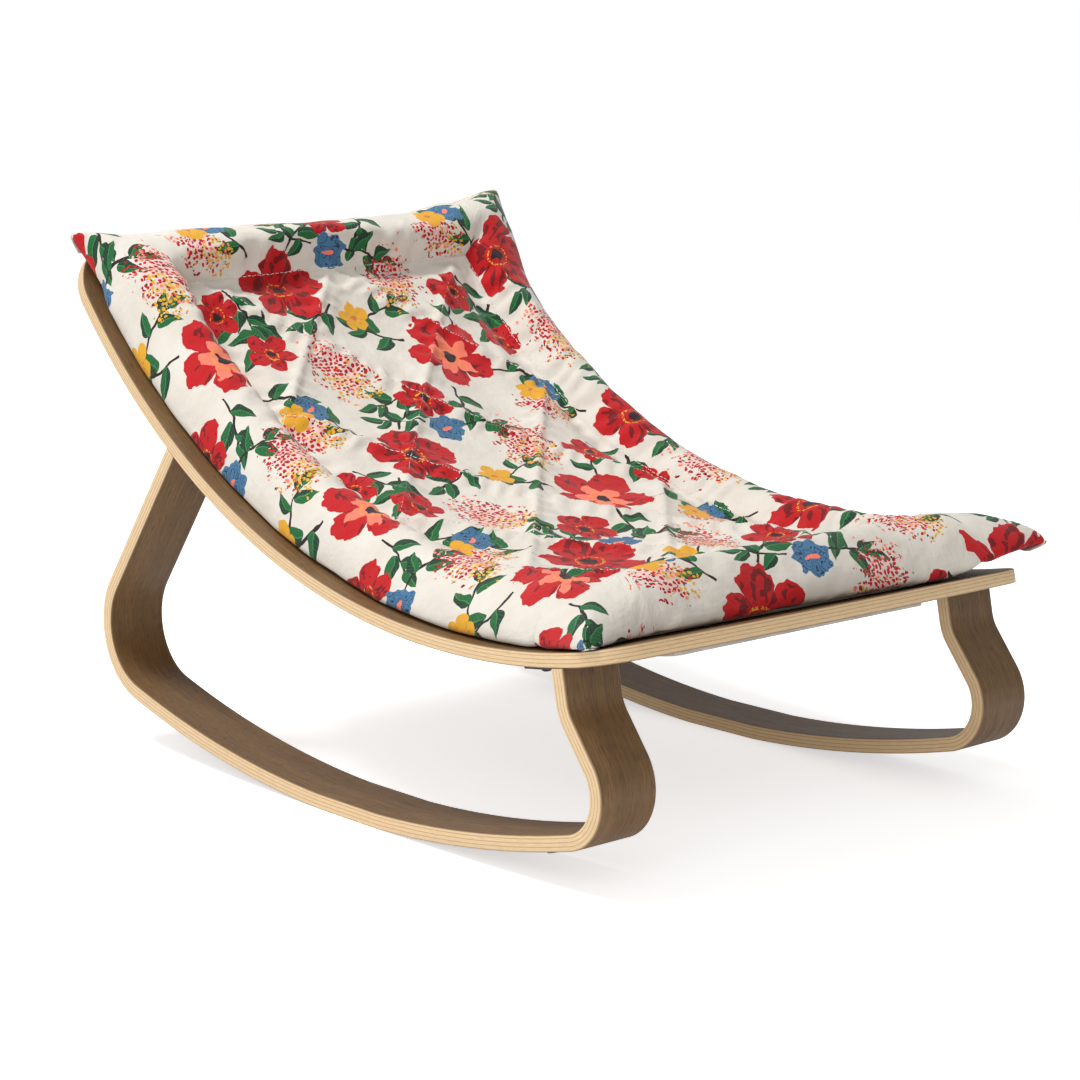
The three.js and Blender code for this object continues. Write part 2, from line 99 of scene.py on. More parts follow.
CUSHION_HALF_WIDTH = 0.207
CUSHION_FOOT, CUSHION_HEAD = -0.156, 0.556  # stations of the cushion's two ends
SIDE_PULL, END_PULL = 0.010, 0.004  # how far the sides pull in between the corners
SIDE_SLIP = 0.0035  # how far the head end lies to the right of the foot end
FOOT_SKEW = (0.009, -0.013)  # the ends' shift along the shell: middle, and how it grows to the right
HEAD_SKEW = (0.001, 0.007)
# how high each sewn corner lifts, (left or right, foot or head); how far it sticks out; and their reaches
CORNER_LIFT = {(-1, -1): 0.001, (1, -1): 0.014, (-1, 1): 0.007, (1, 1): 0.020}
CORNER_EAR = 0.007
LIFT_REACH, EAR_REACH, FLAT_REACH = 0.055, 0.024, 0.042
STITCH_INSET = 0.060  # from the seam to the stitched line inside the border roll
ROLL_CENTRE = 0.011  # the border roll's cross-section is egg-shaped, widest near the shell
ROLL_WIDTH, ROLL_UP, ROLL_DOWN = 0.030, 0.037, 0.010  # half its width, heights above and below its widest
ROLL_FROM, ROLL_TO = -0.95, 2.78  # angles of the seam and of the stitched line
SWELL = (0.006, 0.0024)  # most that the stuffing may push out the roll and the panel
TAPER = 0.018  # the panel's swelling tapers off over this distance to a quilted line
SEWN_WIDTH = 0.0035  # cloth this close to a quilted line is held by it
PANEL_HEIGHT = 0.033
CUSHION_CLEARANCE = 0.0036  # room for the hook-and-loop strips under the middle
RIM_CLEARANCE = 0.0006  # the rim rests on the shell
QUILT_PITCH = (0.134, 0.163)  # across and along, between the corners of the quilted diamonds

shell_low, shell_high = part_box("seat_shell")
LOW_Z = shell_low.z
LOW_Y = shell_low.y + FOOT_RADIUS * math.sin(FOOT_REACH / FOOT_RADIUS)
HALF_WIDTH = shell_high.x
LAND_Y = frame["record"]["mounts"][0]["pos_m"][1]


def srgb(red, green, blue):
    """A linear colour from display values of 0 to 255."""
    shown = [value / 255 for value in (red, green, blue)]
    return (*(v / 12.92 if v < 0.04 else ((v + 0.055) / 1.055) ** 2.4 for v in shown), 1.0)


# ---- meshes

def lattice_faces(rows, columns, closed=False):
    """Quads of a lattice of points numbered row by row; closed joins the last column to the first."""
    row = np.arange(rows - 1)[:, None] * columns
    column = np.arange(columns if closed else columns - 1)[None, :]
    near, far = row + column, row + (column + 1) % columns
    return np.stack([near, far, far + columns, near + columns], axis=-1).reshape(-1, 4)


def lengths_along(points):
    """Length along a line of points, from its first."""
    return np.r_[0, np.cumsum(np.linalg.norm(np.diff(points, axis=0), axis=1))]


def keep_smooth(work, mesh):
    """Writes an edited mesh back, with smooth faces."""
    for face in work.faces:
        face.smooth = True
    work.to_mesh(mesh)
    work.free()


def new_piece(name, points, faces, attributes, materials, slots=None):
    """A smooth mesh object with vector attributes on its points; slots gives each face's material number."""
    mesh = bpy.data.meshes.new(name)
    mesh.from_pydata(np.reshape(points, (-1, 3)).tolist(), [], [list(map(int, f)) for f in faces])
    for key, values in attributes.items():
        layer = mesh.attributes.new(key, "FLOAT_VECTOR", "POINT")
        layer.data.foreach_set("vector", np.asarray(values, np.float32).ravel())
    for material in materials:
        mesh.materials.append(material)
    if slots is not None:
        mesh.polygons.foreach_set("material_index", np.asarray(slots, np.int32))
    weld = bmesh.new()
    weld.from_mesh(mesh)
    bmesh.ops.remove_doubles(weld, verts=weld.verts, dist=1e-6)
    bmesh.ops.dissolve_degenerate(weld, edges=weld.edges, dist=1e-7)
    bmesh.ops.recalc_face_normals(weld, faces=weld.faces)
    keep_smooth(weld, mesh)
    return add_object(name, mesh)


def vectors(collection, what):
    values = np.empty(len(collection) * 3, np.float32)
    collection.foreach_get(what, values)
    return values.reshape(-1, 3).astype(float)


def add_object(name, data):
    added = bpy.data.objects.new(name, data)
    scene.collection.objects.link(added)
    return added


def points_of(mesh, what="co"):
    """Every point's place, or its normal."""
    return vectors(mesh.vertices, what)


def attribute_of(mesh, key):
    return vectors(mesh.attributes[key].data, "vector")


def move_points(mesh, points):
    mesh.vertices.foreach_set("co", points.astype(np.float32).ravel())
    mesh.update()


def hand_over(piece, body, node=None):
    """Parents a piece to the empty of the body it rides on, and hides the CAD node it stands for."""
    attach(piece, body)
    if node:
        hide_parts(node)


# ---- materials

def operator(operation, reverse=False):
    def apply(self, other):
        values = (other, self) if reverse else (self, other)
        return self.tree.math(operation, *values)
    return apply


class Wire:
    """A node's output. Arithmetic and comparisons on it add Math nodes; a comparison gives 1 or 0."""

    def __init__(self, tree, socket):
        self.tree = tree
        self.socket = socket

    def beside(self, output):
        """Another output of the same node."""
        return Wire(self.tree, self.socket.node.outputs[output])

    def __abs__(self):
        return self.tree.math("ABSOLUTE", self)

    __add__ = operator("ADD")
    __radd__ = operator("ADD", reverse=True)
    __sub__ = operator("SUBTRACT")
    __rsub__ = operator("SUBTRACT", reverse=True)
    __mul__ = operator("MULTIPLY")
    __truediv__ = operator("DIVIDE")
    __pow__ = operator("POWER")
    __lt__ = operator("LESS_THAN")
    __gt__ = operator("GREATER_THAN")


class Tree:
    """Short forms for building a node tree. Each method adds one node and returns its output."""

    def __init__(self, tree):
        self.tree = tree

    def add(self, kind, inputs, output=0, **settings):
        node = self.tree.nodes.new(kind)
        for key, value in settings.items():
            setattr(node, key, value)
        for socket, value in inputs.items():
            if isinstance(value, Wire):
                self.tree.links.new(value.socket, node.inputs[socket])
            else:
                node.inputs[socket].default_value = value
        return Wire(self, node.outputs[output])

    def math(self, operation, *values):
        return self.add("ShaderNodeMath", dict(enumerate(values)), operation=operation)

    def vector(self, operation, *values):
        output = "Value" if operation in ("LENGTH", "DOT_PRODUCT") else "Vector"
        return self.add("ShaderNodeVectorMath", dict(enumerate(values)), output, operation=operation)

    def scaled(self, vector, factors):
        return self.vector("MULTIPLY", vector, factors)

    def axis(self, vector, letter):
        return self.vector("DOT_PRODUCT", vector, [float(letter == axis) for axis in "XYZ"])

    def mix(self, factor, low, high):
        inputs = {0: factor, 6: low, 7: high}
        return self.add("ShaderNodeMix", inputs, 2, data_type="RGBA", clamp_factor=True)

    def noise(self, vector, factors=None, detail=2.0, roughness=0.5):
        """Cloudy noise; factors scale the place along x, y and z."""
        vector = self.scaled(vector, factors) if factors else vector
        inputs = {"Vector": vector, "Scale": 1.0, "Detail": detail, "Roughness": roughness}
        return self.add("ShaderNodeTexNoise", inputs)

    def flat_cells(self, inputs):
        """Distance to the nearest of scattered points in a plane."""
        return self.add("ShaderNodeTexVoronoi", inputs, "Distance", voronoi_dimensions="2D")

    def range(self, value, low, high, to_low=0.0, to_high=1.0):
        inputs = {"Value": value, 1: low, 2: high, 3: to_low, 4: to_high}
        return self.add("ShaderNodeMapRange", inputs)

    def attribute(self, name):
        return self.add("ShaderNodeAttribute", {}, "Vector", attribute_name=name)

    def position(self):
        return self.add("ShaderNodeNewGeometry", {}, "Position")


def new_material(name, build, **fixed):
    """build(tree) returns the Principled inputs that nodes drive; "Bump" is a height in metres."""
    material = bpy.data.materials.new(name)
    material.use_nodes = True
    tree = Tree(material.node_tree)
    shader = material.node_tree.nodes["Principled BSDF"]
    for socket, value in fixed.items():
        shader.inputs[socket.replace("_", " ").title().replace("Ior", "IOR")].default_value = value
    for socket, value in build(tree).items():
        if socket == "Bump":
            value = tree.add("ShaderNodeBump", {"Height": value, "Distance": 1.0})
            socket = "Normal"
        tree.tree.links.new(value.socket, shader.inputs[socket])
    return material


def veneer(tree):
    """Smoked walnut veneer: straight grain along the strip, fine streaks, short dark pores."""
    grain = tree.attribute("grain")
    drift = tree.noise(grain, (14, 3, 1))
    shift = tree.add("ShaderNodeCombineXYZ", {0: drift * 0.012})
    bent = tree.vector("ADD", grain, shift)
    bands = tree.noise(bent, (90, 3.0, 1))
    streaks = tree.noise(bent, (1100, 22, 1), 3, 0.6)
    pores = tree.noise(bent, (2100, 110, 1), 1)
    base = tree.mix(tree.range(bands, 0.25, 0.75), srgb(106, 75, 39), srgb(132, 97, 51))
    lined = tree.mix(tree.range(streaks, 0.38, 0.68, 0, 0.62), base, srgb(75, 53, 31))
    pore = tree.range(pores, 0.56, 0.66)
    colour = tree.mix(pore * 0.6, lined, srgb(46, 32, 22))
    height = (pore + streaks) * -0.00007
    return {"Base Color": colour, "Roughness": tree.range(streaks, 0.3, 0.7, 0.44, 0.58), "Bump": height}


def ply_edge(thickness, plies):
    """Cut plywood edge: light plies with thin darker ones between them, and dark face veneers."""
    def build(tree):
        edge = tree.attribute("edge")
        depth = tree.axis(edge, "Y")
        wander = tree.noise(edge, (45, 250, 1))
        layer = depth / thickness * plies + (wander - 0.5) * 0.16
        phase = tree.math("PINGPONG", layer + 0.5, 1.0)
        line = tree.range(phase, 0.86, 0.74, 1.0, 0.0)
        dark_line = tree.range(phase, 0.74, 0.88)
        fibre = tree.noise(edge, (120, 2600, 1), 3, 0.65)
        end_fleck = tree.noise(edge, (1100, 1800, 1), 1)
        light = tree.mix(tree.range(fibre, 0.3, 0.7), srgb(205, 172, 128), srgb(230, 202, 158))
        dark = tree.mix(tree.range(end_fleck, 0.35, 0.65), srgb(158, 118, 78), srgb(190, 152, 108))
        colour = tree.mix(dark_line * 0.85, light, dark)
        from_face = thickness / 2 - abs(depth - thickness / 2)
        face_veneer = tree.range(from_face, 0.00055, 0.0003)
        colour = tree.mix(face_veneer * 0.8, colour, srgb(112, 84, 58))
        height = (fibre + line) * 0.00005
        return {"Base Color": colour, "Roughness": tree.range(fibre, 0.3, 0.7, 0.4, 0.52), "Bump": height}
    return build


def metal(base, dark):
    """Powder-coated steel: a faint orange-peel surface and slightly varied tone."""
    def build(tree):
        peel = tree.noise(tree.position(), (1600, 1600, 1600), 1)
        tone = tree.noise(tree.position(), (60, 60, 60), 3)
        return {"Base Color": tree.mix(tree.range(tone, 0.3, 0.7), base, dark),
                "Roughness": tree.range(tone, 0.3, 0.7, 0.36, 0.5), "Bump": peel * 0.00006}
    return build


def rubber(tree):
    grit = tree.noise(tree.position(), (1800, 1800, 1800))
    colour = tree.mix(tree.range(grit, 0.35, 0.65), srgb(38, 35, 33), srgb(56, 52, 49))
    return {"Base Color": colour, "Roughness": tree.range(grit, 0.3, 0.7, 0.7, 0.9),
            "Bump": grit * 0.0001}


def tape(hook, base, dark):
    """Hook tape is a tight grid of nibs, loop tape a soft nap."""
    def build(tree):
        place = tree.position()
        if hook:
            nibs = tree.add("ShaderNodeTexVoronoi", {"Vector": place, "Scale": 650.0, "Randomness": 0.25})
            height = tree.range(nibs, 0.0, 0.6, 0.0009, 0.0)
        else:
            nibs = tree.noise(place, (900, 900, 900), 4, 0.7)
            height = nibs * 0.0012
        # Painted shade and painted highlight: the colour follows the relief, darker in the low gaps between
        # the hook nibs and lighter on the raised loop nap.
        colour = tree.mix(tree.range(nibs, 0.2, 0.7), base, dark)
        return {"Base Color": colour, "Roughness": tree.range(nibs, 0, 1, 0.85, 0.98), "Bump": height}
    return build


WALNUT = new_material("walnut_veneer", veneer, coat_weight=0.12, coat_roughness=0.35)
SHELL_EDGE = new_material("shell_ply_edge", ply_edge(SHELL_THICKNESS, 8), coat_weight=0.1, coat_roughness=0.4)
STRIP_EDGE = new_material("strip_ply_edge", ply_edge(STRIP_THICKNESS, 8), coat_weight=0.1, coat_roughness=0.4)
DARK_STEEL = new_material("dark_steel", metal(srgb(62, 60, 58), srgb(50, 48, 46)), metallic=0.6)
GREY_STEEL = new_material("grey_steel", metal(srgb(196, 190, 180), srgb(178, 172, 162)), metallic=0.3)
RUBBER = new_material("rubber", rubber)
HOOK_TAPE = new_material("hook_tape", tape(True, srgb(88, 72, 58), srgb(48, 38, 30)))
LOOP_TAPE = new_material("loop_tape", tape(False, srgb(206, 200, 186), srgb(232, 228, 218)))


# ---- the shell

SEAT_TURN = SEAT_LENGTH / SEAT_RADIUS


def shell_arc(on_foot, on_back):
    """Radius and centre (y, z) of the underside's arc at the foot, at the back, or at the seat between."""
    radius = np.where(on_foot, FOOT_RADIUS, np.where(on_back, BACK_RADIUS, SEAT_RADIUS))
    shift = np.where(on_back, SEAT_RADIUS - BACK_RADIUS, 0)
    centre_z = LOW_Z + np.where(on_foot, FOOT_RADIUS, SEAT_RADIUS) - shift * math.cos(SEAT_TURN)
    return radius, LOW_Y + shift * math.sin(SEAT_TURN), centre_z


def shell_line(station):
    """The underside's y, z and slope angle at stations."""
    station = np.asarray(station, float)
    on_back = station >= SEAT_LENGTH
    radius, centre_y, centre_z = shell_arc(station < 0, on_back)
    angle = np.where(on_back, SEAT_TURN + (station - SEAT_LENGTH) / radius, station / radius)
    return centre_y + radius * np.sin(angle), centre_z - radius * np.cos(angle), angle


def shell_point(x, station, height):
    y, z, angle = shell_line(station)
    return np.stack(np.broadcast_arrays(x, y - np.sin(angle) * height, z + np.cos(angle) * height), axis=-1)


def end_outline(crown, corner):
    """One end of the developed outline, from its tip to the full width: x, and depth in from the tip."""
    corner_x = HALF_WIDTH - corner
    join = math.asin(corner_x / (crown - corner))
    bow = np.linspace(0, join, BOW_POINTS)[:-1]
    turn = np.linspace(join, math.pi / 2, CORNER_POINTS)
    centre_depth = crown - math.sqrt((crown - corner) ** 2 - corner_x ** 2)
    x = np.r_[crown * np.sin(bow), corner_x + corner * np.sin(turn)]
    return x, np.r_[crown * (1 - np.cos(bow)), centre_depth - corner * np.cos(turn)]


def shell_outline(inset):
    """The right half of the developed outline, foot to head, moved in: x, station, length along it."""
    foot_x, foot_depth = end_outline(FOOT_CROWN, FOOT_CORNER)
    head_x, head_depth = end_outline(HEAD_CROWN, HEAD_CORNER)
    foot_station, head_station = foot_depth - FOOT_REACH, HEAD_REACH - head_depth
    side = np.linspace(foot_station[-1], head_station[-1], SIDE_POINTS)[1:-1]
    x = np.r_[foot_x, np.full(len(side), HALF_WIDTH), head_x[::-1]]
    station = np.r_[foot_station, side, head_station[::-1]]
    along = lengths_along(np.stack([x, station], -1))
    slope_x, slope_s = np.gradient(x, along), np.gradient(station, along)
    slope_x[[0, -1]], slope_s[[0, -1]] = (1, -1), 0
    size = np.hypot(slope_x, slope_s)
    return x - inset * slope_s / size, station + inset * slope_x / size, along


def whole_loop(x, station, along):
    """Adds the mirrored left half, from head to foot."""
    back = slice(-2, 0, -1)
    return np.r_[x, -x[back]], np.r_[station, station[back]], np.r_[along, 2 * along[-1] - along[back]]


def eased_edge(thickness):
    """From the face to mid-thickness over a sanded edge: distance in from the edge, and depth."""
    arc = np.linspace(0, math.pi / 2, EASE_POINTS)
    return np.r_[EASE_BAND, EASE * (1 - np.sin(arc)), 0], np.r_[0, EASE * (1 - np.cos(arc)), thickness / 2]


def make_shell():
    """Rings of points round the sanded edge, and a grid across each face."""
    inset, depth = eased_edge(SHELL_THICKNESS)
    inset = np.r_[inset, inset[-2::-1]]
    depth = np.r_[depth, SHELL_THICKNESS - depth[-2::-1]]
    points, grain, edge = [], [], []

    def add(x, station, along, height):
        level = np.full_like(x, height)
        points.append(shell_point(x, station, height).reshape(-1, 3))
        grain.append(np.stack([x, station, level], -1).reshape(-1, 3))
        edge.append(np.stack([along, level, 0 * x], -1).reshape(-1, 3))

    for ring_inset, height in zip(inset, depth):
        ring = whole_loop(*shell_outline(ring_inset))
        add(*ring, height)
    columns = len(ring[0])
    faces = [lattice_faces(len(inset), columns, closed=True)]
    is_edge = np.ones(len(inset) - 1, bool)
    is_edge[[0, -1]] = False
    slots = [np.repeat(is_edge, columns)]
    x, station, along = (row[:, None] for row in shell_outline(EASE_BAND))
    across = np.linspace(-1, 1, FACE_COLUMNS)
    start = len(inset) * columns
    for height in (0, SHELL_THICKNESS):
        add(x * across, station + 0 * across, along + 0 * across, height)
        face_grid = lattice_faces(len(x), FACE_COLUMNS) + start
        faces.append(face_grid)
        slots.append(np.zeros(len(face_grid), bool))
        start += x.size * FACE_COLUMNS
    piece = new_piece("plywood_shell", np.concatenate(points), np.concatenate(faces),
                      {"grain": np.concatenate(grain), "edge": np.concatenate(edge)},
                      [WALNUT, SHELL_EDGE], np.concatenate(slots))
    hand_over(piece, "seat", "seat_shell")


# ---- the rockers

STEP_LENGTH, STEP_TURN = 0.005, 0.04  # longest step along a profile, and its largest turn
RISE_STEPS = 30  # along the straight part that rises to the shell
LONGEST_RISE, RISE_SAMPLES, SHELL_SAMPLES = 0.4, 8001, 2000


def walk(point, heading, steps):
    """Points and headings along straight lengths (a number) and arcs (radius, turn)."""
    points, headings = [np.array(point)], [heading]
    for step in steps:
        radius, turn = step if isinstance(step, tuple) else (None, 0)
        length = radius * abs(turn) if radius else step
        count = math.ceil(max(length / STEP_LENGTH, abs(turn) / STEP_TURN))
        chord = 2 * radius * math.sin(abs(turn) / count / 2) if radius else length / count
        for _ in range(count):
            half = heading + turn / count / 2
            heading += turn / count
            points.append(points[-1] + chord * np.array([math.cos(half), math.sin(half)]))
            headings.append(heading)
    return np.array(points), np.array(headings)


def meet_shell(start, heading):
    """Where a line from below comes within the gap of the shell's underside."""
    stations = np.linspace(-FOOT_REACH, HEAD_REACH, SHELL_SAMPLES)
    line_y, line_z, _ = shell_line(stations)
    travel = np.linspace(0, LONGEST_RISE, RISE_SAMPLES)
    y, z = start[0] + travel * math.cos(heading), start[1] + travel * math.sin(heading)
    reached = np.argmax(z + GAP > np.interp(y, line_y, line_z))
    return np.array([y[reached], z[reached]])


def half_profile(first_steps, toe, rest, mirror):
    """Outer and inner line of one half of a rocker, from the land up to the shell."""
    (radius, turn), bend = first_steps
    land_angle = math.asin(LAND / radius)
    steps = [(radius, turn - land_angle), *toe, bend, *rest]
    outer, headings = walk((LAND, 0), land_angle, steps)
    inner = outer + STRIP_THICKNESS * np.stack([-np.sin(headings), np.cos(headings)], -1)
    heading = headings[-1]
    if mirror:
        outer, inner = outer * (-1, 1), inner * (-1, 1)
        heading = math.pi - heading
    outer, inner = outer + (LAND_Y, 0), inner + (LAND_Y, 0)
    share = np.linspace(0, 1, RISE_STEPS)[1:, None]
    return [np.concatenate([line, line[-1] + share * (meet_shell(line[-1], heading) - line[-1])])
            for line in (outer, inner)]


def strip_section(low, high):
    """Round a strip's cross-section: x, depth, and whether the face after each point is a cut edge."""
    side, depth = eased_edge(STRIP_THICKNESS)
    back = slice(-2, None, -1)
    x = np.r_[high - side, (high - side)[back], low + side, (low + side)[back]]
    around = np.r_[depth, STRIP_THICKNESS - depth[back], STRIP_THICKNESS - depth, depth[back]]
    from_side = np.minimum(high - x, x - low)
    cut = (from_side + np.roll(from_side, -1)) / 2 < EASE
    return x, around, cut


def make_rocker(name, low):
    back = half_profile(BACK_STEPS, [], [], mirror=False)
    front = half_profile(FRONT_STEPS, [TOE_LENGTH], [SHIN_LENGTH, KNEE], mirror=True)
    outer, inner = (np.concatenate([f[::-1], b]) for f, b in zip(front, back))
    middle = (outer + inner) / 2
    along = lengths_along(middle)
    x, depth, cut = strip_section(low, low + STRIP_WIDTH)
    share = (depth / STRIP_THICKNESS)[None, :, None]
    profile = outer[:, None] * (1 - share) + inner[:, None] * share
    rows, columns = profile.shape[:2]
    grid_x, grid_along, grid_depth = np.broadcast_arrays(x, along[:, None], depth)
    points = np.concatenate([grid_x[..., None], profile], -1)
    body = lattice_faces(rows, columns, closed=True)
    caps = [list(range(columns)), list(range((rows - 1) * columns, rows * columns))]
    slots = np.concatenate([np.tile(cut, rows - 1), [True, True]])
    grain = np.stack([grid_x + low, grid_along, grid_depth], -1)
    edge = np.stack([grid_along, grid_depth, 0 * grid_x], -1)
    piece = new_piece(f"{name}_bent_strip", points, body.tolist() + caps,
                      {"grain": grain, "edge": edge}, [WALNUT, STRIP_EDGE], slots)
    hand_over(piece, "seat", f"{name}_rocker")


# ---- steel, rubber and tape

BEND_RADIUS = 0.0022  # outside the brackets' bend
METAL_EASE = 0.0004  # broken edges of steel and rubber pieces
SHORTEST_FOLD = 0.02
# radians: faces this level are one, edges this bent are eased, and edges this bent stay sharp
LEVEL, BENT, SHARP = 0.05, 1.0, 0.6


def bend_edges(mesh):
    """The inner and the outer long edge where a bracket is folded."""
    lengthwise, middle = [], {}
    for edge in mesh.edges:
        start, end = (corner.co for corner in edge.verts)
        if edge.calc_length() > SHORTEST_FOLD and abs((end - start).normalized().x) > 0.99:
            lengthwise.append(edge)
            middle[edge] = (start + end) / 2
    inner = next(edge for edge in lengthwise if not edge.is_convex)
    others = [edge for edge in lengthwise if edge is not inner]
    outer = min(others, key=lambda edge: (middle[edge] - middle[inner]).length)
    return inner, outer


def bevel(mesh, edges, width, segments):
    bmesh.ops.bevel(mesh, geom=edges, offset=width, offset_type="OFFSET", segments=segments, profile=0.5,
                    affect="EDGES", clamp_overlap=True)


def ease_edges(node_name, material):
    """Stands in for a hard-edged CAD node with the same shape and softly broken edges."""
    node = frame["nodes"][node_name]
    work = bmesh.new()
    work.from_mesh(node.data)
    bmesh.ops.remove_doubles(work, verts=work.verts, dist=1e-6)
    bmesh.ops.dissolve_limit(work, angle_limit=LEVEL, verts=work.verts, edges=work.edges)
    bmesh.ops.recalc_face_normals(work, faces=work.faces)
    if "bracket" in node_name:
        inner, outer = bend_edges(work)
        bevel(work, [outer], BEND_RADIUS, 4)
        bevel(work, [inner], BEND_RADIUS / 2, 3)
    bevel(work, [edge for edge in work.edges if edge.calc_face_angle(0) > BENT], METAL_EASE, 2)
    mesh = bpy.data.meshes.new(f"eased_{node_name}")
    keep_smooth(work, mesh)
    mesh.set_sharp_from_angle(angle=SHARP)
    mesh.materials.append(material)
    hand_over(add_object(mesh.name, mesh), "seat", node_name)


def make_fittings():
    for side in ("left", "right"):
        for end in ("front", "back"):
            ease_edges(f"{side}_{end}_bracket", DARK_STEEL)
            ease_edges(f"{side}_{end}_stop_pad", RUBBER)
    ease_edges("counterweight_plate", GREY_STEEL)


def dress_cad_nodes():
    """Gives the screws and the tape strips, which keep their CAD shapes, their materials."""
    dress = {"screw": DARK_STEEL, "hook_strip": HOOK_TAPE, "loop_strip": LOOP_TAPE}
    for name, node in frame["nodes"].items():
        for part, material in dress.items():
            if part in name:
                node.data.materials.clear()
                node.data.materials.append(material)


# ---- the printed cotton

RED, DEEP_RED = srgb(182, 10, 18), srgb(80, 8, 14)
CORAL, PINK, YELLOW, OCHRE = srgb(240, 122, 98), srgb(238, 168, 166), srgb(216, 158, 38), srgb(186, 120, 28)
BLUE, NAVY = srgb(66, 112, 146), srgb(26, 42, 78)
GREEN, LEAF_SHADE, LEAF_LIGHT = srgb(20, 92, 46), srgb(18, 52, 34), srgb(76, 140, 84)
INK, COTTON, COTTON_WARM = srgb(38, 24, 24), srgb(217, 211, 201), srgb(209, 201, 189)

PRINT_PERIOD = (236.0, 206.0)  # millimetres of cloth between repeats, across and along


def motif_group(name, draw, colours, numbers):
    """A node group that draws one motif over the colour under it. draw(tree, inputs, local) gets the
    place in the motif's own frame, where the motif has a radius or a length of about one."""
    tree = bpy.data.node_groups.new(name, "ShaderNodeTree")
    sockets = {"under": "Color", "place": "Vector", "wobble": "Float", "centre": "Vector", "angle": "Float",
               "size": "Float", **dict.fromkeys(colours, "Color"), **dict.fromkeys(numbers, "Float")}
    for key, kind in sockets.items():
        tree.interface.new_socket(key, in_out="INPUT", socket_type=f"NodeSocket{kind}")
    tree.interface.new_socket("colour", in_out="OUTPUT", socket_type="NodeSocketColor")
    build = Tree(tree)
    sources = tree.nodes.new("NodeGroupInput").outputs
    inputs = {key: Wire(build, sources[key]) for key in sockets}
    half = [p / 2 for p in PRINT_PERIOD] + [1.0]
    offset = build.vector("SUBTRACT", inputs["place"], inputs["centre"])
    offset = build.vector("WRAP", offset, half, [-h for h in half])
    turned = build.add("ShaderNodeVectorRotate", {"Vector": offset, "Angle": inputs["angle"]},
                       rotation_type="Z_AXIS")
    size = build.add("ShaderNodeCombineXYZ", {0: inputs["size"], 1: inputs["size"], 2: 1.0})
    local = build.vector("DIVIDE", turned, size)
    result = draw(build, inputs, local)
    output = tree.nodes.new("NodeGroupOutput")
    tree.links.new(result.socket, output.inputs[0])
    return tree


def around_middle(tree, local):
    """Distance from the motif's middle and the angle round it."""
    return tree.vector("LENGTH", local), tree.math("ARCTAN2", tree.axis(local, "Y"), tree.axis(local, "X"))


def five_petals(tree, angle, phase):
    """A wave from 0 to 1 with five humps in a turn."""
    return abs(tree.math("COSINE", angle * 2.5 + phase))


def draw_flower(tree, inputs, local):
    """Five broad petals with creases and flecks, a smaller star on them, a ring of pollen and an eye."""
    distance, angle = around_middle(tree, local)
    wave = five_petals(tree, angle, 0.0)
    wobble = inputs["wobble"] - 0.5
    lean = tree.math("COSINE", angle + inputs["angle"]) * 0.12
    reach = wave ** 0.5 * 0.48 + 0.52 + lean + wobble * 0.28
    colour = tree.mix(distance < reach, inputs["under"], inputs["petal"])
    crease = wave < inputs["crease"] / distance
    polar = tree.add("ShaderNodeCombineXYZ", {0: angle * 4.0, 1: distance * 3.2, 2: inputs["angle"]})
    fleck = (tree.noise(polar, detail=1) > inputs["fleck level"]) * (distance > 0.36)
    marks = tree.math("MAXIMUM", crease, fleck) * (distance < reach * 0.93)
    colour = tree.mix(marks * 0.8, colour, inputs["shade"])
    star_reach = (five_petals(tree, angle, 0.7) * 0.6 + 0.4) * inputs["star size"] + wobble * 0.35
    star = (distance < star_reach) * (inputs["star size"] > 0.01)
    colour = tree.mix(star, colour, inputs["star"])
    ring = tree.math("COMPARE", distance, 0.26, 0.025) * (inputs["fleck"] > 0.52)
    colour = tree.mix(ring, colour, inputs["pollen"])
    return tree.mix(distance < wobble * 0.3 + 0.15, colour, inputs["eye"])


def draw_rose(tree, inputs, local):
    """A round, ruffled bloom with curling dark lines and a pale stroke at its heart."""
    distance, angle = around_middle(tree, local)
    wobble = inputs["wobble"] - 0.5
    ruffle = tree.math("SINE", angle * 7.0) * 0.07
    reach = 0.84 + ruffle + wobble * 0.5
    colour = tree.mix(distance < reach, inputs["under"], inputs["petal"])
    spiral = wobble * 5.5 + (angle * 0.48 + distance * 3.6)
    line = (tree.math("FRACT", spiral) < 0.2) * (distance < reach * 0.92)
    colour = tree.mix(line, colour, inputs["shade"])
    heart = tree.vector("LENGTH", tree.scaled(local, (2.6, 7.5, 1))) < 0.8
    return tree.mix(heart, colour, inputs["heart"])


def draw_leaf(tree, colour, place, wobble):
    """A pointed leaf from the origin to x = 1, darker on one half, with a pale midrib and side veins."""
    x, y = tree.axis(place, "X"), tree.axis(place, "Y")
    rest = 1.0 - x
    y = y - x * rest * 0.3
    width = tree.math("SQRT", x) * rest * 0.62
    off = abs(y)
    leaf = (off < wobble * 0.05 + width) * (x > 0.0)
    tone = tree.mix(wobble * 0.25 + y > 0.015, GREEN, LEAF_SHADE)
    vein = tree.math("FRACT", (x - off) * 7.0) < 0.12
    rib = tree.math("MAXIMUM", off < 0.014, vein * 0.55)
    return tree.mix(leaf, colour, tree.mix(rib * 0.7, tone, LEAF_LIGHT))


# x, y, degrees, length
SPRIG_LEAVES = ((0.30, 0.05, 58, 0.55), (0.52, 0.0, -50, 0.62), (0.78, 0.02, 34, 0.5), (0.98, 0.0, -6, 0.5))


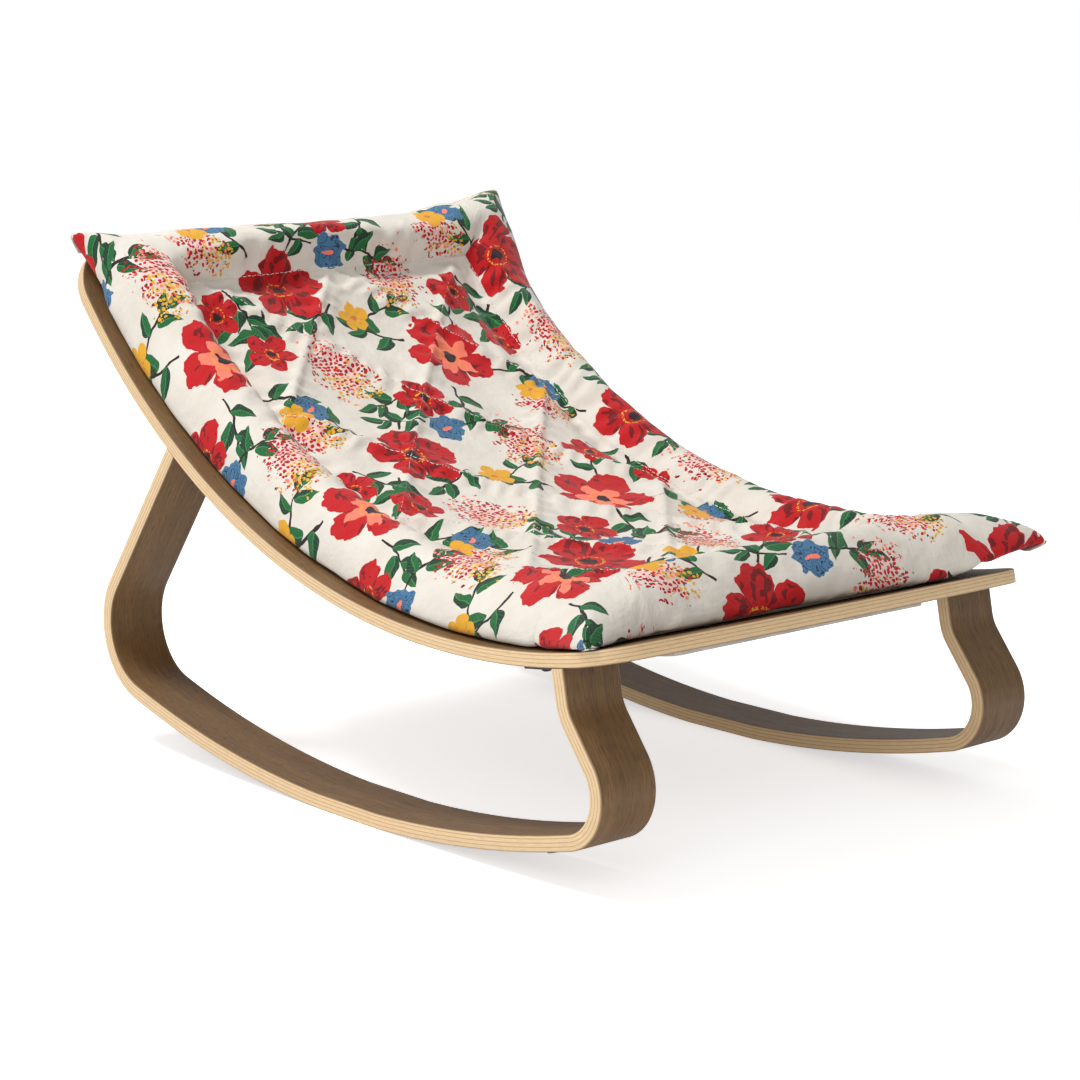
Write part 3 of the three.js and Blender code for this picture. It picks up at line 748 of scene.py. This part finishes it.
def draw_sprig(tree, inputs, local):
    """A curved stem along x with leaves on both sides and one at its tip."""
    wobble = inputs["wobble"] - 0.5
    x, y = tree.axis(local, "X"), tree.axis(local, "Y")
    off = abs(y - tree.math("SINE", x * 3.4) * 0.06)
    stem = (off < wobble * 0.03 + 0.027) * tree.math("COMPARE", x, 0.5, 0.5)
    colour = tree.mix(stem, inputs["under"], INK)
    for leaf_x, leaf_y, degrees, length in SPRIG_LEAVES:
        place = tree.vector("SUBTRACT", local, (leaf_x, leaf_y, 0))
        place = tree.add("ShaderNodeVectorRotate", {"Vector": place, "Angle": -math.radians(degrees)},
                         rotation_type="Z_AXIS")
        place = tree.scaled(place, (1 / length, 1 / length, 1))
        colour = draw_leaf(tree, colour, place, wobble)
    return colour


def draw_spray(tree, inputs, local):
    """A loose spray of berries, its colours changing along its length, with dark specks between them."""
    long = tree.vector("LENGTH", tree.scaled(local, (1.35, 0.9, 1)))
    pick = inputs["pick"]
    reach = (inputs["wobble"] - 0.5) * 1.5 + (pick * 0.25 + 0.72)
    inside = long < reach
    lean = tree.axis(local, "Y") * 0.42 + (pick * 0.5 + 0.25)
    blush = (long < reach * 0.62) * 0.4
    colour = tree.mix(blush, inputs["under"], tree.mix(lean < 0.42, PINK, YELLOW))
    tint = CORAL
    for level, next_tint in ((0.92, RED), (0.64, PINK), (0.60, RED), (0.40, CORAL), (0.33, YELLOW)):
        tint = tree.mix(lean < level, tint, next_tint)
    colour = tree.mix(inside * (inputs["dot"] < 0.38), colour, tint)
    return tree.mix(inside * (inputs["speck"] < 0.15), colour, INK)


# what draws each motif, and its colours and numbers besides the inputs that all motifs share
MOTIFS = {
    "flower": (draw_flower, ("petal", "shade", "star", "pollen", "eye"),
               ("star size", "crease", "fleck", "fleck level")),
    "rose": (draw_rose, ("petal", "shade", "heart"), ()),
    "sprig": (draw_sprig, (), ()),
    "spray": (draw_spray, (), ("dot", "pick", "speck")),
}
RED_PETALS = {"petal": RED, "shade": DEEP_RED, "pollen": YELLOW, "eye": INK}
KINDS = {
    "poppy": ("flower", {**RED_PETALS, "star": CORAL, "star size": 0.0, "crease": 0.04, "fleck level": 0.57}),
    "star": ("flower", {**RED_PETALS, "star": CORAL, "star size": 0.58, "crease": 0.03, "fleck level": 0.64}),
    "bloom": ("flower", {**RED_PETALS, "star": RED, "star size": 0.0, "crease": 0.05, "fleck level": 0.6}),
    "bud": ("flower", {"petal": YELLOW, "shade": OCHRE, "pollen": CORAL, "eye": OCHRE,
                       "star": YELLOW, "star size": 0.0, "crease": 0.03, "fleck level": 0.7}),
    "rose": ("rose", {"petal": BLUE, "shade": NAVY, "heart": CORAL}),
    "sprig": ("sprig", {}),
    "spray": ("spray", {}),
}
# kind, place across and along the repeat in millimetres, degrees, size in millimetres
PRINT = (
    ("sprig", -24, 26, 205, 42), ("sprig", -84, 84, 120, 42), ("sprig", -46, 88, 40, 38),
    ("sprig", -92, 24, 232, 44), ("sprig", 92, -58, -30, 46), ("sprig", 40, -72, 250, 42),
    ("sprig", 28, -16, 150, 42), ("sprig", 82, -8, 62, 38), ("sprig", 14, 86, -15, 40),
    ("sprig", -18, 92, 160, 36), ("sprig", -8, -78, 190, 38), ("sprig", 118, 48, -70, 38),
    ("sprig", 8, 12, 20, 36),
    ("spray", -54, -44, 15, 36), ("spray", 54, 50, -20, 37), ("spray", 112, 96, 60, 27),
    ("poppy", -60, 50, 10, 38), ("star", 60, -38, 36, 39),
    ("bloom", -2, -88, 25, 24), ("bloom", 106, 30, 80, 22), ("bloom", -104, -18, 50, 21),
    ("rose", 0, 84, 0, 18), ("rose", -106, -82, 40, 17),
    ("bud", -6, 14, 15, 15), ("bud", 110, -88, -20, 14),
)


def floral_colour(tree):
    """The colour of the printed cloth at the "fabric" attribute, in millimetres of cloth."""
    fabric = tree.scaled(tree.attribute("fabric"), (1000, 1000, 0))
    drift = tree.add("ShaderNodeTexNoise", {"Vector": fabric, "Scale": 0.075, "Detail": 1.0}, "Color")
    drift = tree.vector("SUBTRACT", drift, (0.5, 0.5, 0.5))
    place = tree.vector("ADD", fabric, tree.scaled(drift, (7, 7, 0)))
    wobble = tree.noise(fabric, (0.13, 0.13, 0), 1)
    berries = tree.flat_cells({"Vector": place, "Scale": 0.27, "Randomness": 0.62})
    specks = tree.flat_cells({"Vector": tree.vector("ADD", place, (7, 3, 0)), "Scale": 0.2})
    textures = {
        "flower": {"fleck": tree.noise(fabric, (0.5, 0.5, 0), 1)},
        "spray": {"dot": berries, "pick": tree.axis(berries.beside("Color"), "X"), "speck": specks},
    }
    groups = {name: motif_group(name, *motif) for name, motif in MOTIFS.items()}
    tone = tree.noise(fabric, (0.03, 0.03, 0))
    colour = tree.mix(tree.range(tone, 0.3, 0.7), COTTON, COTTON_WARM)
    for kind, x, y, degrees, size in PRINT:
        group, looks = KINDS[kind]
        inputs = {"under": colour, "place": place, "wobble": wobble, "centre": (x, y, 0),
                  "angle": -math.radians(degrees), "size": float(size), **textures.get(group, {}), **looks}
        colour = tree.add("ShaderNodeGroup", inputs, node_tree=groups[group])
    return colour


def weave_height(tree):
    """Height of a fine plain weave and the cloth's small rumples."""
    fabric = tree.attribute("fabric")
    threads = tree.scaled(fabric, (9000, 9000, 0))
    across = tree.math("SINE", tree.axis(threads, "X"))
    along = tree.math("SINE", tree.axis(threads, "Y"))
    weave = across * along * 0.00002
    slub = tree.noise(fabric, (600, 600, 0), 3) * 0.00012
    rumple = tree.noise(fabric, (48, 48, 0), 3, 0.55) * 0.0022
    return weave + (slub + rumple)


def printed_cotton(tree):
    return {"Base Color": floral_colour(tree), "Bump": weave_height(tree)}


def plain_cotton(tree):
    colour = tree.mix(tree.noise(tree.attribute("fabric"), (30, 30, 0)), COTTON, COTTON_WARM)
    return {"Base Color": colour, "Bump": weave_height(tree)}


def thread(tree):
    fibres = tree.noise(tree.position(), (900, 900, 900))
    return {"Base Color": tree.mix(fibres, srgb(240, 236, 228), srgb(214, 206, 194))}


SOFT = {"sheen_weight": 0.15, "specular_ior_level": 0.25}
PRINTED = new_material("printed_cotton", printed_cotton, roughness=0.82, **SOFT)
BACKING = new_material("backing_cotton", plain_cotton, roughness=0.88, **SOFT)
THREAD = new_material("white_thread", thread, roughness=0.7)


# ---- the cushion

BORDER_CELLS = 16
PANEL_CELLS = (54, 106)  # across and along
BACK_TUCK = 1.3  # above 1, the back's points crowd towards the seam
TOP_SUNK = 0.4  # how much of the top's height its corners lose
PANEL_EASE, RIM_LIFT = 0.03, 0.008  # widths over which the panel and the rim level out
REST_BAND = (0.012, 0.02)  # the back lifts off the shell from this far in, over this width
# the cloth simulation that stuffs the cushion
COTTON_COVER = {"quality": 5, "mass": 0.2, "tension_stiffness": 18, "compression_stiffness": 18,
                "shear_stiffness": 6, "bending_stiffness": 0.6, "shrink_min": -0.02, "use_pressure": True,
                "uniform_pressure_force": 4.0}
STUFFING_FRAMES = 20
HALF_LENGTH = (CUSHION_HEAD - CUSHION_FOOT) / 2
QUILT_SLOPE = QUILT_PITCH[1] / QUILT_PITCH[0]
QUILT_SIZE = math.hypot(1, QUILT_SLOPE)
PANEL_X, PANEL_Y = CUSHION_HALF_WIDTH - STITCH_INSET, HALF_LENGTH - STITCH_INSET  # its half sizes
SEAM_HEIGHT = ROLL_CENTRE + ROLL_DOWN * math.sin(ROLL_FROM)
STITCH_HEIGHT = ROLL_CENTRE + ROLL_UP * math.sin(ROLL_TO)


def both_sides(border, half_size, panel_cells):
    """Border insets from one side, the panel between the stitched lines, and the border again."""
    panel = np.linspace(border[-1], 2 * half_size - border[-1], panel_cells + 1)[1:-1]
    return np.r_[border, panel, 2 * half_size - border[::-1]]


def smooth_step(value):
    value = np.clip(value, 0, 1)
    return value * value * (3 - 2 * value)


def step_over(distance, band):
    """A smooth step from 0 to 1 that starts at one distance and takes a width."""
    start, width = band
    return smooth_step((distance - start) / width)


def corner_sum(u, v, values, reach):
    """Adds up values given for the four corners, each fading with distance from its corner."""
    total = np.zeros_like(u)
    for (side, end), value in values.items():
        distance = np.hypot((u - side) * CUSHION_HALF_WIDTH, (v - end) * HALF_LENGTH)
        total += value * np.exp(-(distance / reach) ** 2)
    return total


def cushion_point(u, v, height, sunk):
    """A place on the cushion from u across and v along, -1 to 1; sunk flattens the corners, 0 to 1."""
    x = u * (CUSHION_HALF_WIDTH - SIDE_PULL * (1 - v * v)) + SIDE_SLIP * smooth_step((v + 1) / 2)
    station = (CUSHION_FOOT + CUSHION_HEAD) / 2 + v * (HALF_LENGTH - END_PULL * (1 - u * u))
    station += smooth_step(-v) * (FOOT_SKEW[0] + FOOT_SKEW[1] * u)
    station += smooth_step(v) * (HEAD_SKEW[0] + HEAD_SKEW[1] * u)
    every = dict.fromkeys(CORNER_LIFT, 1.0)
    ear = CORNER_EAR * corner_sum(u, v, every, EAR_REACH)
    x, station = x + ear * np.sign(u), station + ear * np.sign(v)
    flatter = 1 - sunk * corner_sum(u, v, every, FLAT_REACH)
    height = SEAM_HEIGHT + (height - SEAM_HEIGHT) * flatter + corner_sum(u, v, CORNER_LIFT, LIFT_REACH)
    return shell_point(x, station, SHELL_THICKNESS + height)


def arc_lengths(points, axis):
    """Length along the cloth from the middle line, row by row or column by column."""
    steps = np.linalg.norm(np.diff(points, axis=axis), axis=-1)
    pad = [(0, 0), (0, 0)]
    pad[axis] = (1, 0)
    total = np.cumsum(np.pad(steps, pad), axis=axis)
    middle = points.shape[axis] // 2
    return total - np.take(total, [middle], axis=axis)


def cushion_mesh():
    """The sewn cover: printed top and plain back joined at the seam, with the cloth's own coordinates."""
    angle = np.linspace(ROLL_FROM, ROLL_TO, BORDER_CELLS + 1)
    top_inset = ROLL_WIDTH * (1 - np.cos(angle))
    tuck = np.linspace(0, 1, BORDER_CELLS + 1)
    back_inset = top_inset[0] + (top_inset[-1] - top_inset[0]) * tuck ** BACK_TUCK
    nominal = STITCH_INSET * tuck
    rings = []
    for border in (top_inset, back_inset, nominal):
        across = both_sides(border, CUSHION_HALF_WIDTH, PANEL_CELLS[0])
        along = both_sides(border, HALF_LENGTH, PANEL_CELLS[1])
        rings.append(np.meshgrid(across / CUSHION_HALF_WIDTH - 1, along / HALF_LENGTH - 1))
    u, v = rings[2]
    inset = np.minimum((1 - np.abs(u)) * CUSHION_HALF_WIDTH, (1 - np.abs(v)) * HALF_LENGTH)
    rise = np.sin(np.interp(inset, nominal, angle))
    roll = ROLL_CENTRE + rise * np.where(rise > 0, ROLL_UP, ROLL_DOWN)
    level = smooth_step((inset - STITCH_INSET) / PANEL_EASE)
    panel = STITCH_HEIGHT + (PANEL_HEIGHT - STITCH_HEIGHT) * level
    top = cushion_point(*rings[0], np.where(inset < STITCH_INSET, roll, panel), TOP_SUNK)
    rim = RIM_CLEARANCE + (SEAM_HEIGHT - RIM_CLEARANCE) * (1 - np.minimum(inset / RIM_LIFT, 1)) ** 2
    back = cushion_point(*rings[1], rim + CUSHION_CLEARANCE * step_over(inset, REST_BAND), 0)
    faces = lattice_faces(*u.shape)
    fabric = [np.stack([arc_lengths(side, 1), arc_lengths(side, 0), 0 * u], -1) for side in (top, back)]
    plan = np.stack([u * CUSHION_HALF_WIDTH, v * HALF_LENGTH, inset], -1)
    attributes = {"fabric": fabric, "plan": [plan, plan]}
    return new_piece("floral_cushion", [top, back], np.concatenate([faces, faces + u.size]), attributes,
                     [PRINTED, BACKING], np.repeat([0, 1], len(faces)))


def top_weights(mesh):
    """1 on points that only printed faces use, 0 elsewhere."""
    weights = np.ones(len(mesh.vertices))
    for polygon in mesh.polygons:
        if polygon.material_index == 1:
            weights[list(polygon.vertices)] = 0
    return weights


def stuff(piece):
    """Swells the slack top by cloth simulation between its seam and its sewn lines, then keeps the result."""
    mesh = piece.data
    rest = points_of(mesh)
    plan = attribute_of(mesh, "plan")
    quilted, _ = quilt_distance(plan[:, 0], plan[:, 1] - PANEL_Y)
    sewn = (np.abs(quilted) < SEWN_WIDTH) & (plan[:, 2] > STITCH_INSET)
    free = top_weights(mesh) * (np.abs(plan[:, 2] - STITCH_INSET) > 1e-5) * ~sewn
    pinned = piece.vertex_groups.new(name="pinned")
    pinned.add([int(i) for i in np.flatnonzero(free < 0.5)], 1.0, "REPLACE")
    cloth = piece.modifiers.new("stuffing", "CLOTH")
    for key, value in COTTON_COVER.items():
        setattr(cloth.settings, key, value)
    cloth.settings.vertex_group_mass = "pinned"
    cloth.settings.effector_weights.gravity = 0
    cloth.collision_settings.use_collision = False
    scene.frame_start, scene.frame_end = 1, STUFFING_FRAMES
    for number in range(1, STUFFING_FRAMES + 1):
        scene.frame_set(number)
    evaluated = piece.evaluated_get(bpy.context.evaluated_depsgraph_get())
    moved = points_of(evaluated.data) - rest
    piece.modifiers.clear()
    scene.frame_set(1)
    length = np.maximum(np.linalg.norm(moved, axis=1), 1e-9)
    on_border = plan[:, 2] < STITCH_INSET
    cap = np.where(on_border, SWELL[0], SWELL[1] * smooth_step(np.abs(quilted) / TAPER) + 1e-6)
    kept = moved * (cap * np.tanh(length / cap) / length)[:, None]
    move_points(mesh, rest + kept)


def crease_seams(mesh):
    """Keeps the seam and the stitched line sharp when the mesh is subdivided."""
    inset = attribute_of(mesh, "plan")[:, 2]
    sewn = (inset < 1e-6) | (np.abs(inset - STITCH_INSET) < 1e-6)
    ends = np.empty(len(mesh.edges) * 2, np.int32)
    mesh.edges.foreach_get("vertices", ends)
    sharp = sewn[ends.reshape(-1, 2)].all(axis=1)
    layer = mesh.attributes.new("crease_edge", "FLOAT", "EDGE")
    layer.data.foreach_set("value", sharp.astype(np.float32))


def subdivided(piece):
    """Applies one subdivision, so that sewn channels have points to move."""
    crease_seams(piece.data)
    modifier = piece.modifiers.new("fine", "SUBSURF")
    modifier.levels = modifier.render_levels = 1
    evaluated = piece.evaluated_get(bpy.context.evaluated_depsgraph_get())
    fine = bpy.data.meshes.new_from_object(evaluated)
    piece.modifiers.clear()
    piece.data = fine
    fine.polygons.foreach_set("use_smooth", [True] * len(fine.polygons))


# Relief of the sewn cloth, in metres: how high or deep it is, and how far it reaches or how often it repeats
CHANNEL_DEPTH, CHANNEL_WIDTH = 0.0028, 0.0038  # pressed in by the quilting
PILLOW_HEIGHT, PILLOW_REACH = 0.0028, 0.045  # between the quilted lines
GROOVE_DEPTH, GROOVE_WIDTH = 0.0042, 0.0032  # pressed in by the border's stitches
PUCKER_HEIGHT, PUCKER_PITCH = 0.0011, 0.017  # small folds across the quilting
GATHER_HEIGHT, GATHER_PITCH = 0.0010, 0.021  # folds across the border's stitches
PUCKER_BAND, GATHER_BAND = (0.007, 0.008), (0.009, 0.010)  # how far off the stitches, and how wide
LUMPS = ((0.0014, 16, 9.7), (0.0007, 38, 5.2))  # uneven filling: height, lumps a metre, seed
BACK_LUMPS, BACK_BAND = (0.0006, 30, 1.3), (0.01, 0.02)
WANDER = (1, 22, 3.1)  # makes the folds' spacing uneven
PUCKER_WANDER, GATHER_WANDER = 5, 6
PANEL_FADE = 0.012  # the quilting fades in over this distance from the border's stitches
SIDE_BAND = 0.06  # folds count along the cushion this close to its long sides, else across it


def quilt_distance(x, along):
    """Distance to the nearest line of the diamond quilting, and a place along that line; every line
    starts its places elsewhere, so that neighbouring folds differ."""
    lean = np.array([[1], [-1]])
    offset = (along - lean * QUILT_SLOPE * x) / QUILT_PITCH[1]
    line = np.round(offset)
    off = (offset - line) * QUILT_PITCH[1] / QUILT_SIZE
    run = (x + lean * QUILT_SLOPE * along) / QUILT_SIZE + 7 * line + lean
    nearer = np.argmin(np.abs(off), axis=0)[None]
    return np.take_along_axis(off, nearer, 0)[0], np.take_along_axis(run, nearer, 0)[0]


def lumps(points, height, scale, seed):
    """Smooth noise at points: its height, how many lumps a metre, and a seed."""
    shift = Vector((seed, seed, seed))
    return height * np.array([noise.noise(Vector(p * scale) + shift) for p in points])


def beside(distance, band):
    """A soft band on both sides of a line: 1 at its middle, 0 far from it."""
    offset, width = band
    return np.exp(-((np.abs(distance) - offset) / width) ** 2)


def quilt_and_pucker(piece):
    """Presses in the quilted channels and gathers the cloth beside every stitched line."""
    mesh = piece.data
    points, normals = points_of(mesh), points_of(mesh, "normal")
    plan, fabric = attribute_of(mesh, "plan"), attribute_of(mesh, "fabric")
    weight = top_weights(mesh)
    off, run = quilt_distance(plan[:, 0], plan[:, 1] - PANEL_Y)
    ring = plan[:, 2] - STITCH_INSET
    in_panel = smooth_step(ring / PANEL_FADE)
    channel = -CHANNEL_DEPTH * beside(off, (0, CHANNEL_WIDTH)) * in_panel
    pillow = PILLOW_HEIGHT * smooth_step(np.abs(off) / PILLOW_REACH) * in_panel
    wander = lumps(fabric, *WANDER)
    ripple = np.sin(run * 2 * math.pi / PUCKER_PITCH + PUCKER_WANDER * wander)
    pucker = PUCKER_HEIGHT * ripple * beside(off, PUCKER_BAND) * in_panel
    near_side = np.abs(plan[:, 0]) > PANEL_X - SIDE_BAND
    place = np.where(near_side, plan[:, 1], plan[:, 0])
    gathers = np.sin(place * 2 * math.pi / GATHER_PITCH + GATHER_WANDER * wander)
    gather = GATHER_HEIGHT * gathers * beside(ring, GATHER_BAND)
    groove = -GROOVE_DEPTH * beside(ring, (0, GROOVE_WIDTH))
    lump = sum(lumps(fabric, *kind) for kind in LUMPS)
    shift = (channel + pillow + pucker + gather + groove + lump) * weight
    shift += (1 - weight) * lumps(fabric, *BACK_LUMPS) * step_over(plan[:, 2], BACK_BAND)
    move_points(mesh, points + normals * shift[:, None])


def settle_on_shell(piece):
    """Moves any point that came too close to the shell's top straight out from it."""
    mesh = piece.data
    points = points_of(mesh)
    angle = np.arctan2(points[:, 1] - LOW_Y, LOW_Z + SEAT_RADIUS - points[:, 2])
    radius, centre_y, centre_z = shell_arc(angle < 0, angle >= SEAT_TURN)
    out_y, out_z = points[:, 1] - centre_y, points[:, 2] - centre_z
    distance = np.hypot(out_y, out_z)
    inset = attribute_of(mesh, "plan")[:, 2]
    wanted = RIM_CLEARANCE + (CUSHION_CLEARANCE - RIM_CLEARANCE) * step_over(inset, REST_BAND)
    short = np.maximum(wanted - (radius - SHELL_THICKNESS - distance), 0)
    points[:, 1] -= short * out_y / distance
    points[:, 2] -= short * out_z / distance
    move_points(mesh, points)


STITCH, SKIP = 0.0034, 0.0013  # a stitch, and the gap to the next
THREAD_RADIUS, THREAD_SHAPE = 0.00045, (0.35, 0.9, 1.0, 0.9, 0.35)  # and how thick it is along a stitch
QUILT_LINES = range(-8, 4)  # more than cross the panel; rows outside it are left out
ROW_SAMPLES, SHORTEST_ROW = 400, 20
SAMPLING = 0.002  # step between samples of the surface under a row of stitches
NEIGHBOURS = 4  # points that the surface is averaged from


def surface_finder(piece):
    """A function from plan places on the top to surface points and normals."""
    mesh = piece.data
    points, normals, plan = points_of(mesh), points_of(mesh, "normal"), attribute_of(mesh, "plan")
    chosen = np.flatnonzero(top_weights(mesh) > 0.5)
    tree = kdtree.KDTree(len(chosen))
    for i in chosen:
        tree.insert((plan[i, 0], plan[i, 1], 0), int(i))
    tree.balance()

    def find(x, along):
        near = tree.find_n((x, along, 0), NEIGHBOURS)
        numbers = [i for _, i, _ in near]
        weights = np.array([1 / (d + 1e-5) for _, _, d in near])
        weights /= weights.sum()
        normal = weights @ normals[numbers]
        return weights @ points[numbers], normal / np.linalg.norm(normal)
    return find


def stitch_line(find, start, end):
    """Thread ends of a straight row of stitches between two plan places: point, point, normal."""
    start, end = np.array(start), np.array(end)
    count = int(np.linalg.norm(end - start) / SAMPLING)
    places = [find(*(start + (end - start) * share)) for share in np.linspace(0, 1, count)]
    points, normals = map(np.array, zip(*places))
    length = lengths_along(points)

    def at(distance):
        return np.array([np.interp(distance, length, axis) for axis in points.T])

    rows = []
    for distance in np.arange(0.001, length[-1] - STITCH, STITCH + SKIP):
        normal = normals[min(np.searchsorted(length, distance), count - 1)]
        rows.append((at(distance), at(distance + STITCH), normal))
    return rows


def thread_piece(name, rows):
    """One mesh of small rounded threads, each arching a little above the cloth between its two ends."""
    sides, rings = 6, len(THREAD_SHAPE)
    around = np.linspace(0, 2 * math.pi, sides, endpoint=False)
    share = np.linspace(0, 1, rings)
    thickness = THREAD_RADIUS * np.array(THREAD_SHAPE)
    points, faces = [], []
    for start, end, normal in rows:
        along = (end - start) / np.linalg.norm(end - start)
        side = np.cross(along, normal)
        base = len(points) * sides * rings
        arch = THREAD_RADIUS * (np.sin(share * math.pi) - 0.25)
        middle = start + (end - start) * share[:, None] + normal * arch[:, None]
        ring = side * np.cos(around)[:, None] + normal * np.sin(around)[:, None]
        points.append((middle[:, None] + ring[None] * thickness[:, None, None]).reshape(-1, 3))
        faces += (lattice_faces(rings, sides, closed=True) + base).tolist()
        faces.append(list(range(base, base + sides))[::-1])
        faces.append(list(range(base + (rings - 1) * sides, base + rings * sides)))
    return new_piece(name, np.concatenate(points), faces, {}, [THREAD])


def quilt_rows(find):
    """Both families of the diamond quilting, clipped to the panel."""
    x = np.linspace(-PANEL_X, PANEL_X, ROW_SAMPLES)
    rows = []
    for lean in (1, -1):
        for number in QUILT_LINES:
            along = PANEL_Y + number * QUILT_PITCH[1] + lean * QUILT_SLOPE * x
            inside = np.flatnonzero(np.abs(along) <= PANEL_Y)
            if len(inside) > SHORTEST_ROW:
                first, last = inside[0], inside[-1]
                rows += stitch_line(find, (x[first], along[first]), (x[last], along[last]))
    return rows


def make_cushion():
    piece = cushion_mesh()
    stuff(piece)
    subdivided(piece)
    quilt_and_pucker(piece)
    settle_on_shell(piece)
    find = surface_finder(piece)
    corners = [(-PANEL_X, -PANEL_Y), (PANEL_X, -PANEL_Y), (PANEL_X, PANEL_Y), (-PANEL_X, PANEL_Y)]
    border = []
    for i, corner in enumerate(corners):
        border += stitch_line(find, corner, corners[(i + 1) % 4])
    hand_over(piece, "cushion", "cushion")
    hand_over(thread_piece("border_stitching", border), "cushion")
    hand_over(thread_piece("quilt_stitching", quilt_rows(find)), "cushion")


# ---- studio

# place, side in metres, watts
KEY = ((-0.9, 0.75, 2.5), 0.8, 58)
FILL = ((-2.1, -1.5, 1.2), 1.8, 17)
# strengths: of the light that falls on the object, and as the camera sees it directly
WORLD_GLOW, FLOOR_GLOW = (0.45, 1.0), (0.12, 0.58)
CAMERA_PLACE = (-1.29227, -1.46936, 0.52466)
CAMERA_TILT, CAMERA_TURN, CAMERA_LENS = 79.66, -41.49, 88.09  # degrees, degrees, millimetres
FLOOR_SIZE = 14


def add_area(name, place, size, watts):
    """A square light that points at the middle of the object."""
    light = bpy.data.lights.new(name, "AREA")
    light.size, light.energy = size, watts
    lamp = add_object(name, light)
    lamp.location = place
    centre = (cad_bounds[0] + cad_bounds[1]) / 2
    lamp.rotation_euler = (centre - Vector(place)).to_track_quat("-Z", "Y").to_euler()


def seen_by_camera(tree, light, look):
    """One strength for the light that falls on the object, another for what the camera sees directly."""
    return tree.range(tree.add("ShaderNodeLightPath", {}, "Is Camera Ray"), 0.0, 1.0, light, look)


def pale_floor(tree):
    colour = tree.mix(tree.noise(tree.position(), detail=1), srgb(248, 248, 248), srgb(250, 250, 250))
    return {"Base Color": colour, "Emission Strength": seen_by_camera(tree, *FLOOR_GLOW)}


def make_floor():
    bpy.ops.mesh.primitive_plane_add(size=FLOOR_SIZE)
    floor = bpy.context.active_object
    floor.name = "studio_floor"
    floor.data.materials.append(new_material("pale_floor", pale_floor, roughness=0.9, specular_ior_level=0.0,
                                             emission_color=(1, 1, 1, 1)))


def make_world():
    world = bpy.data.worlds.new("studio")
    world.use_nodes = True
    strength = seen_by_camera(Tree(world.node_tree), *WORLD_GLOW)
    background = world.node_tree.nodes["Background"]
    background.inputs["Color"].default_value = (1, 1, 1, 1)
    world.node_tree.links.new(strength.socket, background.inputs["Strength"])
    scene.world = world


def make_camera():
    camera = add_object("camera", bpy.data.cameras.new("camera"))
    camera.data.lens = CAMERA_LENS
    camera.location = CAMERA_PLACE
    camera.rotation_euler = (math.radians(CAMERA_TILT), 0, math.radians(CAMERA_TURN))
    scene.camera = camera
    scene.view_settings.view_transform = "Standard"


make_shell()
make_rocker("left", -HALF_WIDTH)
make_rocker("right", HALF_WIDTH - STRIP_WIDTH)
make_fittings()
dress_cad_nodes()
make_cushion()
make_floor()
make_world()
add_area("key", *KEY)
add_area("fill", *FILL)
make_camera()
